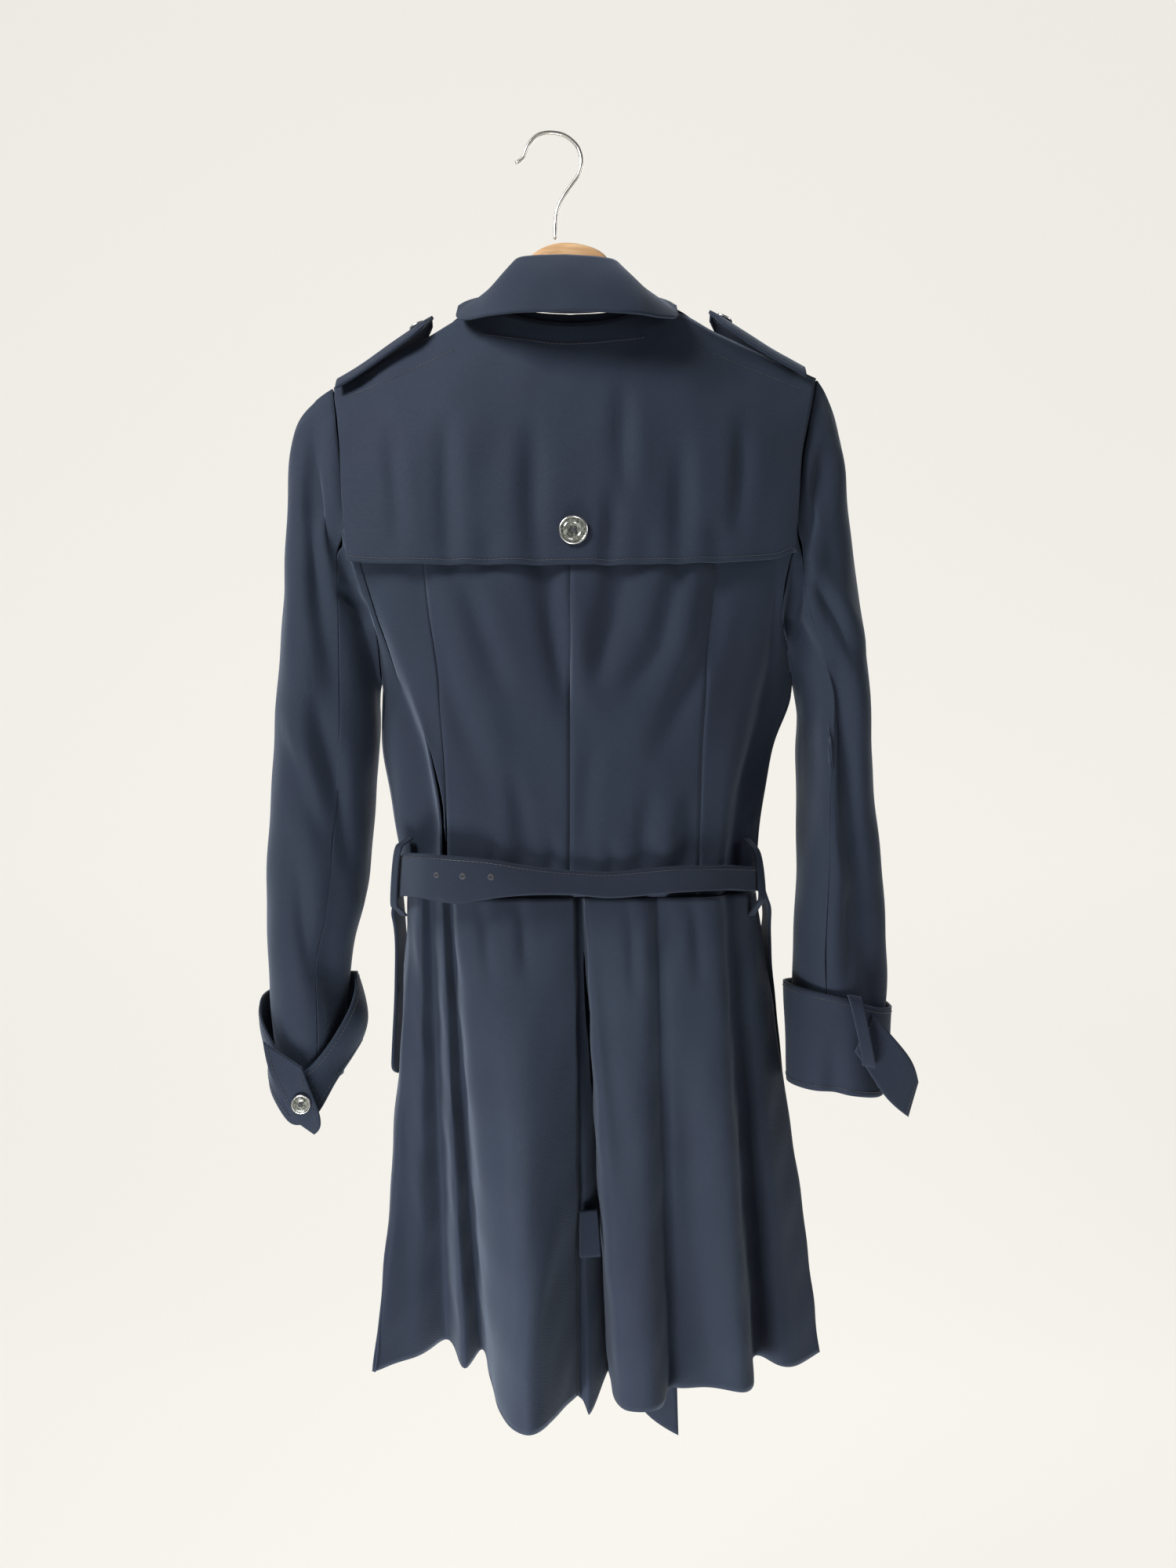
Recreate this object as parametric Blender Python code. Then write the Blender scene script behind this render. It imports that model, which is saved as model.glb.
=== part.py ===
"""A short double-breasted trench coat hanging on a wooden hanger, seen as it is sewn: every cut piece
is its own wall of cloth. Metres, +Z up. The origin is the underside of the hook's top, where a rail
bears; the coat's back faces -Y, its front +Y, and the wearer's right side is +X."""

import math

import bmesh
import bpy
import numpy as np
from mathutils import Vector
from mathutils.bvhtree import BVHTree

# ---------------------------------------------------------------- driving dimensions (millimetres)
MM = 0.001
CLOTH = 1.5            # wall of one layer of coat cloth
DOUBLE = 2.2           # wall of a piece made of two layers: belt, straps, collar
GAP = 0.3              # clearance between sewn pieces
HALF_GAP = 0.165       # each piece stops this short of its seam
COAT_CENTRE = 17       # the coat hangs this far to the right of the hook
WAIST = 598            # drop of the waist seam below the hook
UNDERARM = 435         # drop of the underarm point
NECK_HALF = 72         # half the width of the neck opening
NECK_BACK = 34         # how far the back of the neck opening stands behind the hanger
FRONT_LAP = 75         # how far each front reaches past the centre
LAP_STEP = 6.3         # the right front lies this far outside the left one
ROLL_END = 345         # drop of the point where the lapel starts to turn
BUTTON_ACROSS = 22
CUFF_BUTTON_ACROSS = 15


def hooked(keys, values, at):
    """A smooth curve through table rows that never swings past them (values may be vectors)."""
    keys = np.asarray(keys, float)
    values = np.asarray(values, float)
    at = np.clip(np.asarray(at, float), keys[0], keys[-1])
    flat = values.reshape(len(keys), -1)
    step = np.diff(keys)[:, None]
    slope = np.diff(flat, axis=0) / step
    tangent = np.zeros_like(flat)
    tangent[0], tangent[-1] = slope[0], slope[-1]
    before, after = slope[:-1], slope[1:]
    same_way = before * after > 0
    safe = np.where(same_way, before + after, 1.0)
    tangent[1:-1] = np.where(same_way, 2 * before * after / safe, 0.0)
    place = np.clip(np.searchsorted(keys, at, side="right") - 1, 0, len(keys) - 2)
    width = step[place, 0]
    t = ((at - keys[place]) / width)[..., None]
    h = width[..., None]
    out = (
        (2 * t**3 - 3 * t**2 + 1) * flat[place]
        + (t**3 - 2 * t**2 + t) * h * tangent[place]
        + (3 * t**2 - 2 * t**3) * flat[place + 1]
        + (t**3 - t**2) * h * tangent[place + 1]
    )
    return out.reshape(at.shape + values.shape[1:])


def column(table, name):
    """One named column of a table."""
    return [row[table[0].index(name)] for row in table[1:]]


# ---------------------------------------------------------------- finishes
def finish(name, colour, roughness, metallic=0.0):
    made = bpy.data.materials.new(name)
    made.use_nodes = True
    shader = made.node_tree.nodes["Principled BSDF"]
    shader.inputs["Base Color"].default_value = (*colour, 1.0)
    shader.inputs["Roughness"].default_value = roughness
    shader.inputs["Metallic"].default_value = metallic
    return made


# ---------------------------------------------------------------- walls of cloth
def unit(vectors):
    return vectors / np.maximum(np.linalg.norm(vectors, axis=-1, keepdims=True), 1e-9)


def outward(grid, ring=False):
    """Normals of a sheet whose rows run down and whose columns run anticlockwise seen from above.
    Each is the mean of the faces round it, so a sharp fold gets the normal halfway between its sides."""
    down = grid[1:, :-1] - grid[:-1, :-1] + grid[1:, 1:] - grid[:-1, 1:]
    across = grid[:-1, 1:] - grid[:-1, :-1] + grid[1:, 1:] - grid[1:, :-1]
    faces = np.pad(unit(np.cross(down, across)), ((1, 1), (1, 1), (0, 0)))
    if ring:
        faces[:, 0] = faces[:, -2]
        faces[:, -1] = faces[:, 1]
    return unit(faces[1:, 1:] + faces[:-1, 1:] + faces[1:, :-1] + faces[:-1, :-1])


def share_normals(sheets, normals):
    """Where sheets meet along a seam, give all of them the same normal, so that their walls are mitred.
    Where they face each other across a crease, each keeps its own, and the walls draw apart."""
    met = {}
    for sheet, normal in zip(sheets, normals):
        for point, way in zip(np.round(sheet.reshape(-1, 3), 3), normal.reshape(-1, 3)):
            met.setdefault(tuple(point), []).append(way)
    joined = {}
    for point, ways in met.items():
        joint = unit(np.sum(ways, axis=0))
        if min(joint @ way for way in ways) > 0.6:
            joined[point] = joint
    return [
        np.array([joined.get(tuple(point), way) for point, way in
                  zip(np.round(sheet.reshape(-1, 3), 3), normal.reshape(-1, 3))]).reshape(sheet.shape)
        for sheet, normal in zip(sheets, normals)
    ]


def drawn_in(grid, sides, clear):
    """Pull the named edges of a sheet back from their seams: each by its own clearance."""
    grid = grid.copy()
    for side, edge, beside in (("left", np.s_[:, 0], np.s_[:, 1]), ("right", np.s_[:, -1], np.s_[:, -2]),
                               ("top", np.s_[0], np.s_[1]), ("bottom", np.s_[-1], np.s_[-2])):
        if side in sides:
            grid[edge] += clear.get(side, HALF_GAP) * unit(grid[beside] - grid[edge])
    return grid


def shown(name, bm, made_of, smooth_angle=None):
    mesh = bpy.data.meshes.new(name)
    bm.to_mesh(mesh)
    bm.free()
    thing = bpy.data.objects.new(name, mesh)
    mesh.materials.append(made_of)
    bpy.context.scene.collection.objects.link(thing)
    if smooth_angle is not None:
        mesh.shade_smooth()
        mesh.set_sharp_from_angle(angle=math.radians(smooth_angle))
    return thing


def wall(name, outer, inner, made_of, ring=False):
    """A closed wall between an outer and an inner sheet of the same rows and columns (millimetres)."""
    rows, columns = outer.shape[:2]
    bm = bmesh.new()
    bmesh.ops.create_grid(bm, x_segments=columns - 1, y_segments=rows - 1, size=1)
    place = bm.verts.layers.int.new("place")
    for number, (vert, point) in enumerate(zip(bm.verts, outer.reshape(-1, 3))):
        vert.co = (point + (COAT_CENTRE, 0, 0)) * MM
        vert[place] = number
    if ring:
        bmesh.ops.remove_doubles(bm, verts=bm.verts, dist=0.000001)
    grown = bmesh.ops.extrude_face_region(bm, geom=bm.faces[:])
    lining_side = inner.reshape(-1, 3)
    for item in grown["geom"]:
        if isinstance(item, bmesh.types.BMVert):
            item.co = (lining_side[item[place]] + (COAT_CENTRE, 0, 0)) * MM
    bm.verts.layers.int.remove(place)
    bmesh.ops.recalc_face_normals(bm, faces=bm.faces)
    if bm.calc_volume(signed=True) < 0:
        bmesh.ops.reverse_faces(bm, faces=bm.faces)
    return shown(name, bm, made_of, 40)


def panel(name, grid, normals, made_of, sides="left right top bottom", thickness=CLOTH, clear=None):
    """One cut piece: its wall lies inside the outer sheet, with its sewn edges drawn in."""
    inner = grid - thickness * normals
    clear = clear or {}
    return wall(name, drawn_in(grid, sides, clear), drawn_in(inner, sides, clear), made_of)


def laid_on(grid, normals, lift, thickness=CLOTH):
    """Outer and inner sheets of a piece that lies on another one, lifted off it by `lift`."""
    lift = np.asarray(lift, float)[..., None] if np.ndim(lift) else lift
    return grid + (GAP + thickness + lift) * normals, grid + (GAP + lift) * normals


# ---------------------------------------------------------------- the bodice, shoulder to waist seam
# Rows of the bodice: 0 is the shoulder or neck edge, 1 the underarm, 2 the waist seam.
UPPER_ROWS = (0, 0.05, 0.14, 0.27, 0.42, 0.58, 0.78, 1)
LOWER_ROWS = (1.25, 1.5, 1.75, 2)
ROWS = np.array(UPPER_ROWS + LOWER_ROWS)
LEVELS = (0, 0.35, 0.7, 1, 1.46, 2)    # edge, yoke, cape hem, underarm, ribs, waist

ARMHOLE = {    # the armhole seam: how far it stands from the centre and from the hanger's plane
    "left": (
        ("drop", "across", "back", "front_across", "front"),
        (200, 188, 0, 188, 0),
        (225, 183, 20, 181, 22),
        (260, 178, 33, 170, 37),
        (300, 174, 43, 162, 44),
        (347, 168, 50, 156, 45),
        (392, 150, 38, 150, 33),
        (420, 148, 18, 148, 18),
        (435, 149, 0, 149, 0),
    ),
    "right": (
        ("drop", "across", "back", "front_across", "front"),
        (193, 194, 0, 194, 0),
        (225, 187, 20, 184, 22),
        (260, 179, 33, 172, 37),
        (300, 174, 43, 165, 44),
        (347, 169, 50, 162, 45),
        (392, 160, 38, 164, 33),
        (420, 170, 18, 171, 18),
        (435, 176, 0, 176, 0),
    ),
}
SIDE_SEAM = {    # from the underarm to the waist
    "left": (("row", "across"), (1, 149), (1.3, 149), (1.6, 140.5), (2, 131)),
    "right": (("row", "across"), (1, 176), (1.3, 160), (1.6, 152), (2, 145)),
}
BACK_LINES = {    # distance from the centre at each level, then how far the line is sunk in
    "left": (
        ("line", "edge", "yoke", "cape", "arm", "ribs", "waist", "sink_arm", "sink_ribs", "sink_waist"),
        ("princess", 105, 112, 111, 102, 94, 92, 0, 0, 0),
        ("fold_rise", 124, 132, 130, 116, 98, 94, 0, -3, -3),
        ("fold_lip", 140, 148, 145, 126, 101, 96, -3, -5, -4),
        ("fold_deep", 152, 156, 153, 133, 107, 102, 12, 24, 18),
        ("side_face", 170, 167, 160, 142, 127, 120, 2, 7, 6),
    ),
    "right": (
        ("line", "edge", "yoke", "cape", "arm", "ribs", "waist", "sink_arm", "sink_ribs", "sink_waist"),
        ("princess", 105, 112, 111, 103, 99, 97, 0, 0, 0),
        ("fold_rise", 124, 132, 133, 126, 114, 106, 0, -3, -3),
        ("fold_lip", 142, 150, 150, 144, 126, 114, -3, -5, -4),
        ("fold_deep", 154, 158, 156, 151, 132, 120, 12, 24, 18),
        ("side_face", 172, 167, 163, 164, 146, 134, 2, 7, 6),
    ),
}
FRONT_LINES = (    # from the side seam to the front edge; past the centre is negative
    ("line", "edge", "yoke", "cape", "arm", "ribs", "waist", "sink"),
    ("side_face", 172, 162, 148, 136, 128, 123, 3),
    ("side_fold", 152, 144, 132, 116, 108, 104, 9),
    ("chest", 124, 120, 112, 96, 88, 84, 0),
    ("inner", 98, 98, 92, 74, 66, 62, 3),
    ("neck", 72, 74, 68, 50, 43, 40, 0),
    ("roll_high", 40, 42, 36, 24, 18, 16, 0),
    ("roll_mid", 5, 6, 2, -4, -8, -9, 1),
    ("roll_low", -35, -35, -37, -40, -42, -43, 0),
)
BODY_DEPTH = (    # how far the centre of the back and of the front stand from the hanger's plane
    ("drop", "back", "front", "squareness"),
    (140, 32, 22, 3),
    (200, 50, 43, 3),
    (250, 60, 51, 3),
    (300, 67, 54, 3),
    (347, 73, 58, 3.4),
    (435, 77, 61, 4.4),
    (510, 77, 62, 5),
    (598, 80, 64, 5),
)
SHOULDER = {"left": (139, 200, 188), "right": (137, 193, 194)}    # drop at neck, drop at tip, tip across


def read(table, key, value, at):
    return hooked(column(table, key), column(table, value), at)


def shoulder_drop(side, across):
    neck, tip, reach = SHOULDER[side]
    return neck + (tip - neck) * (across - NECK_HALF) / (reach - NECK_HALF)


def back_edge_drop(side, across):
    """Drop of the back's top edge: the neck curve, then the shoulder seam."""
    neck_curve = 152 - (152 - SHOULDER[side][0]) * (across / NECK_HALF) ** 2
    return np.where(across < NECK_HALF, neck_curve, shoulder_drop(side, across))


def front_edge_drop(side, across):
    """Drop of the front's top edge: the shoulder seam, then the roll line of the lapel."""
    along = (NECK_HALF - across) / (NECK_HALF + FRONT_LAP)
    roll = SHOULDER[side][0] + along * (ROLL_END - SHOULDER[side][0])
    return np.where(across < NECK_HALF, roll, shoulder_drop(side, across))


def drop_at(edge_drop, rows):
    """Drop of each row: even steps from the edge to the underarm, then to the waist."""
    upper = edge_drop + (UNDERARM - edge_drop) * np.minimum(rows, 1)
    return upper + (WAIST - UNDERARM) * np.maximum(rows - 1, 0)


def seam_across(side, drop, rows, where):
    """How far the armhole, and below it the side seam, stands from the centre."""
    return np.where(rows < 1, read(ARMHOLE[side], "drop", where, drop),
                    read(SIDE_SEAM[side], "row", "across", rows))


def body_line(side, across, edge_drop, rows, face, sink=0.0):
    """One line of the bodice from its top edge to the waist, `face` being back or front."""
    drop = drop_at(edge_drop, rows)
    wide = seam_across(side, drop, rows, "across" if face == "back" else "front_across")
    power = read(BODY_DEPTH, "drop", "squareness", drop)
    turned = np.clip(np.abs(across) / wide, 0, 1) ** power
    centre = read(BODY_DEPTH, "drop", face, drop)
    arm = np.where(rows < 1, read(ARMHOLE[side], "drop", face, drop), 0)
    fallen = np.sqrt(np.clip((drop - edge_drop) / 90, 0, 1))
    if face == "back":
        start = NECK_BACK * math.sqrt(max(0.0, 1 - (min(across[0], NECK_HALF) / NECK_HALF) ** 2))
    else:
        along = np.clip((NECK_HALF - across[0]) / (NECK_HALF + FRONT_LAP), 0, 1)
        start = read(BODY_DEPTH, "drop", face, float(edge_drop)) * math.sin(along * math.pi / 2) ** 0.7
    deep = (1 - fallen) * start + centre * (1 - turned) * fallen + arm * turned - sink
    return drop, deep


def back_sheet(rows, shade=None):
    """Outer sheet of the whole back, left armhole to right armhole, at the given rows.
    `rows` is one list for every line, or a function of side and distance across giving one."""
    halves = {}
    for side, sign in (("left", -1), ("right", 1)):
        table = BACK_LINES[side]
        lines = []
        princess = np.array(table[1][1:7], float)
        entries = [(princess * share, (0, 0, 0)) for share in (0, 1 / 3, 2 / 3)]
        entries += [(np.array(row[1:7], float), row[7:]) for row in table[1:]]
        for levels, sinks in entries:
            edge_drop = back_edge_drop(side, levels[0])
            at = rows(side, levels[0]) if callable(rows) else rows
            beside_arm = seam_across(side, drop_at(edge_drop, at), at, "across") - 2.5
            across = np.minimum(hooked(LEVELS, levels, at), beside_arm)
            sink = hooked((0.7, 1, 1.46, 2), (0, *sinks), at)
            drop, deep = body_line(side, across, edge_drop, at, "back", sink)
            lines.append(np.stack([sign * across, -deep, -drop], axis=-1))
        tip = SHOULDER[side][1]
        at = rows(side, SHOULDER[side][2]) if callable(rows) else rows
        drop = drop_at(tip, at)
        across = seam_across(side, drop, at, "across")
        arm = np.where(at < 1, read(ARMHOLE[side], "drop", "back", drop), 0)
        lines.append(np.stack([sign * across, -arm, -drop], axis=-1))
        halves[side] = lines
    return np.stack(halves["left"][:0:-1] + halves["right"], axis=1)


def front_sheet(side, rows=ROWS):
    """Outer sheet of one front, its columns running anticlockwise seen from above."""
    sign = -1 if side == "left" else 1
    step = LAP_STEP if side == "right" else -LAP_STEP / 3
    tip = SHOULDER[side][1]
    drop = drop_at(tip, rows)
    across = seam_across(side, drop, rows, "front_across")
    arm = np.where(rows < 1, read(ARMHOLE[side], "drop", "front", drop), 0)
    lines = [np.stack([sign * across, arm, -drop], axis=-1)]
    widen = {"left": 1.0, "right": 1.06}[side]
    for row in FRONT_LINES[1:]:
        levels = np.array(row[1:7], float)
        wider = np.where(np.arange(6) < 3, 1.0, widen)
        levels = np.where(levels > NECK_HALF, levels * wider, levels)
        across = hooked(LEVELS, levels, rows)
        sink = hooked((0, 0.7, 1.3, 2), (0, 0, row[7], row[7]), rows)
        drop, deep = body_line(side, across, front_edge_drop(side, levels[0]), rows, "front", sink)
        lines.append(np.stack([sign * across, deep + step * lapped(across, drop), -drop], axis=-1))
    across = np.full(rows.shape, -float(FRONT_LAP))
    drop, deep = body_line(side, across, front_edge_drop(side, -FRONT_LAP), rows, "front")
    lines.append(np.stack([sign * across, deep + step * lapped(across, drop), -drop], axis=-1))
    return np.stack(lines if side == "right" else lines[::-1], axis=1)


def lapped(across, drop):
    """How much of the lap step a point takes: all of it where the fronts overlap, none at the shoulder."""
    return np.clip((FRONT_LAP + 45 - across) / 45, 0, 1) * np.clip((drop - 160) / 60, 0, 1)


# ---------------------------------------------------------------- sleeves
SLEEVE = {    # outer form of each sleeve by drop
    "left": (
        ("drop", "centre", "forward", "half_across", "half_deep"),
        (200, 187, 0, 34, 34),
        (240, 187, 0, 33.5, 42),
        (300, 190, 0, 31.5, 51),
        (390, 192.5, 2, 36, 54),
        (452, 193, 4, 40, 52),
        (532, 197, 6, 41, 49),
        (588, 201, 8, 40.5, 47),
        (638, 207.5, 10, 35, 45),
        (670, 209.5, 11, 31, 43),
        (745, 208, 12, 26, 38),
    ),
    "right": (
        ("drop", "centre", "forward", "half_across", "half_deep"),
        (200, 186, 0, 28, 34),
        (240, 184, 0, 29.5, 42),
        (316, 189.5, 0, 30.5, 53),
        (378, 195.5, 2, 32.5, 58),
        (440, 208, 4, 27, 62),
        (514, 209.5, 6, 28, 60),
        (576, 212.5, 8, 32.5, 56),
        (638, 213, 10, 36.5, 52),
        (672, 214, 11, 37, 48),
        (735, 213, 12, 35, 44),
    ),
}
SLEEVE_CLEAR = {"top": 1.2, "left": 0.4, "right": 0.4}    # how far its edges stop short of their seams
HEAD_ROUNDNESS = {"left": 6, "right": 3.4}    # how soon below its seam the sleeve head swells out
SLEEVE_END = {"left": 745, "right": 735}
SLEEVE_ROWS = np.array([0, 0.035, 0.09, 0.17, 0.27, 0.4, 0.53, 0.66, 0.79, 0.9, 1])
ARM_STEPS = 2 * (len(UPPER_ROWS) - 1)    # columns of the armhole seam
SLEEVE_FOLDS = {    # soft folds: place round the sleeve (0 underarm, 0.5 shoulder) and depth, top to bottom
    "left": (
        ("fold", "from_row", "to_row", "place_top", "place_end", "width", "depth"),
        ("head_fold", 0.03, 0.34, 0.66, 0.82, 0.05, 9),
        ("long_ridge", 0.05, 0.5, 0.60, 0.70, 0.06, -5),
        ("elbow_fold", 0.42, 0.86, 0.72, 0.92, 0.07, 11),
        ("front_fold", 0.2, 0.8, 0.30, 0.20, 0.08, 9),
    ),
    "right": (
        ("fold", "from_row", "to_row", "place_top", "place_end", "width", "depth"),
        ("head_fold", 0.05, 0.3, 0.35, 0.22, 0.05, 10),
        ("elbow_fold", 0.34, 0.95, 0.24, 0.36, 0.06, 12),
        ("under_tuck", 0.22, 0.42, 0.08, 0.11, 0.05, 7),
        ("front_fold", 0.2, 0.8, 0.70, 0.78, 0.08, 9),
    ),
}


def sleeve_sheet(side, armhole):
    """Outer sheet of a sleeve hung from its armhole seam (points from the underarm, anticlockwise)."""
    sign = -1 if side == "left" else 1
    seam = np.empty((2 * ARM_STEPS + 1, 3))
    seam[::2] = armhole
    seam[1::2] = (armhole[:-1] + armhole[1:]) / 2
    start_angle = 0 if side == "left" else math.pi
    angle = start_angle + np.linspace(0, 2 * math.pi, 2 * ARM_STEPS + 1)
    place = np.linspace(0, 1, 2 * ARM_STEPS + 1)
    table = SLEEVE[side]
    grid = np.empty((len(SLEEVE_ROWS), len(seam), 3))
    for number, row in enumerate(SLEEVE_ROWS):
        drop = -seam[:, 2] + (SLEEVE_END[side] + seam[:, 2]) * row
        half_across = read(table, "drop", "half_across", drop)
        half_deep = read(table, "drop", "half_deep", drop)
        inward = np.zeros_like(place)
        for fold in SLEEVE_FOLDS[side][1:]:
            _, begin, end, top_place, end_place, width, depth = fold
            along = (row - begin) / (end - begin)
            if 0 < along < 1:
                middle = top_place + (end_place - top_place) * along
                away = np.abs(place - middle)
                away = np.minimum(away, 1 - away)
                inward += depth * math.sin(math.pi * along) ** 0.6 * np.exp(-((away / width) ** 2))
        tube = np.stack([
            sign * read(table, "drop", "centre", drop) + (half_across - inward) * np.cos(angle),
            read(table, "drop", "forward", drop) + (half_deep - inward) * np.sin(angle),
            -drop,
        ], axis=-1)
        left_seam = 1 - (1 - min(1, row / 0.17)) ** HEAD_ROUNDNESS[side]
        grid[number] = seam * (1 - left_seam) + tube * left_seam
        grid[number, :, 2] = -drop
    grid[:, -1] = grid[:, 0]
    return grid


# ---------------------------------------------------------------- skirt, waist seam to hem
SKIRT = (    # fold lines, anticlockwise seen from above, from the left front's edge to the right front's
    ("piece", "line", "waist_x", "waist_y", "hem_x", "hem_y", "hem_drop"),
    ("skirt_front_left", "edge", 75, 64, 91, 104, 1070),
    ("skirt_front_left", "corner", 58, 65, 61, 108, 1051),
    ("skirt_front_left", "lap", 32, 65, 34, 116, 1014),
    ("skirt_front_left", "hollow", 4, 64, 4, 110, 1006),
    ("skirt_front_left", "fold", -26, 66, -26, 120, 1000),
    ("skirt_front_left", "hollow", -52, 63, -54, 110, 994),
    ("skirt_front_left", "fold", -74, 64, -84, 124, 986),
    ("skirt_front_left", "hollow", -96, 58, -112, 116, 980),
    ("skirt_front_left", "fold", -114, 52, -136, 114, 984),
    ("skirt_front_left", "side", -125, 30, -157, 80, 990),
    ("skirt_back_left", "side_seam", -130, 2, -162, 40, 994),
    ("skirt_back_left", "side_fold", -126, -30, -155, 46, 994),
    ("skirt_back_left", "hollow", -121, -42, -138, 62, 992),
    ("skirt_back_left", "fold", -113, -60, -122, 74, 990),
    ("skirt_back_left", "deep", -105, -50, -103, 97, 984),
    ("skirt_back_left", "narrow_fold", -97, -70, -88, 44, 997),
    ("skirt_back_left", "deep", -90, -58, -75, 80, 985),
    ("skirt_back_left", "lobe_turn", -86, -76, -62, 2, 995),
    ("skirt_back_left", "lobe", -71, -80, -54, -38, 997),
    ("skirt_back_left", "lobe", -54, -82, -44, -66, 998),
    ("skirt_back_left", "lobe_crest", -38, -82, -31, -79, 999),
    ("skirt_back_left", "lobe", -22, -82, -19, -66, 998),
    ("skirt_back_left", "lobe_inside", -8, -82, -7, -38, 997),
    ("pleat_underlay", "left_lip", 3, -80, 6, -6, 996),
    ("pleat_underlay", "left_inside", 4.5, -70, 9, 4, 1003),
    ("pleat_underlay", "middle", 6.5, -67, 15, 2, 1017),
    ("pleat_underlay", "right_inside", 8.5, -70, 24, 18, 1000),
    ("skirt_back_right", "right_inside", 10, -79, 30, 46, 994),
    ("skirt_back_right", "right_lip", 13, -82, 36, -22, 996),
    ("skirt_back_right", "panel", 26, -82, 46, -34, 998),
    ("skirt_back_right", "panel", 42, -82, 60, -34, 998),
    ("skirt_back_right", "panel", 57, -81, 71, -22, 998),
    ("skirt_back_right", "hollow", 65, -73, 78, 8, 996),
    ("skirt_back_right", "panel", 73, -80, 86, 3, 994),
    ("skirt_back_right", "panel", 88, -79, 107, 8, 995),
    ("skirt_back_right", "panel", 102, -76, 129, 5, 997),
    ("skirt_back_right", "side_lip", 114, -68, 146, 16, 998),
    ("skirt_back_right", "deep", 119, -44, 151, 70, 990),
    ("skirt_back_right", "side_panel", 131, -40, 170, 53, 994),
    ("skirt_back_right", "side_panel", 139.5, -22, 189, 62, 996),
    ("skirt_front_right", "side_seam", 146, 2, 208, 76, 990),
    ("skirt_front_right", "side", 141.5, 30, 199, 106, 992),
    ("skirt_front_right", "fold", 126, 52, 168, 128, 993),
    ("skirt_front_right", "hollow", 106, 60, 138, 122, 994),
    ("skirt_front_right", "fold", 84, 68, 106, 136, 996),
    ("skirt_front_right", "hollow", 58, 69, 72, 128, 1000),
    ("skirt_front_right", "fold", 30, 70, 36, 136, 1004),
    ("skirt_front_right", "hollow", 2, 69, 2, 128, 1003),
    ("skirt_front_right", "fold", -30, 71, -30, 138, 998),
    ("skirt_front_right", "hollow", -54, 69, -58, 130, 994),
    ("skirt_front_right", "edge", -75, 70, -84, 134, 993),
)
SKIRT_SWELL = {    # how far outward a line bellies halfway down, where it doesn't run straight
    ("skirt_back_left", "side_seam"): -3, ("skirt_back_left", "side_fold"): -2.5,
    ("skirt_front_left", "side"): -2.5, ("skirt_back_right", "side_panel"): 2.5,
    ("skirt_front_right", "side_seam"): 3, ("skirt_front_right", "side"): 2.5,
}
SKIRT_ROWS = (0, 0.09, 0.22, 0.38, 0.56, 0.75, 0.9, 1)
FLARE_POWER = 1.08    # folds open a little faster near the hem than near the waist


def skirt_sheet():
    lines = []
    for piece, line, waist_x, waist_y, hem_x, hem_y, hem_drop in SKIRT[1:]:
        rows = np.array(SKIRT_ROWS)
        opened = rows**FLARE_POWER
        swell = math.copysign(1, waist_x) * SKIRT_SWELL.get((piece, line), 0)
        lines.append(np.stack([
            waist_x + (hem_x - waist_x) * opened + swell * np.sin(math.pi * rows),
            waist_y + (hem_y - waist_y) * opened,
            -(WAIST + GAP + (hem_drop - WAIST - GAP) * rows),
        ], axis=-1))
    return np.stack(lines, axis=1)


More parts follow.
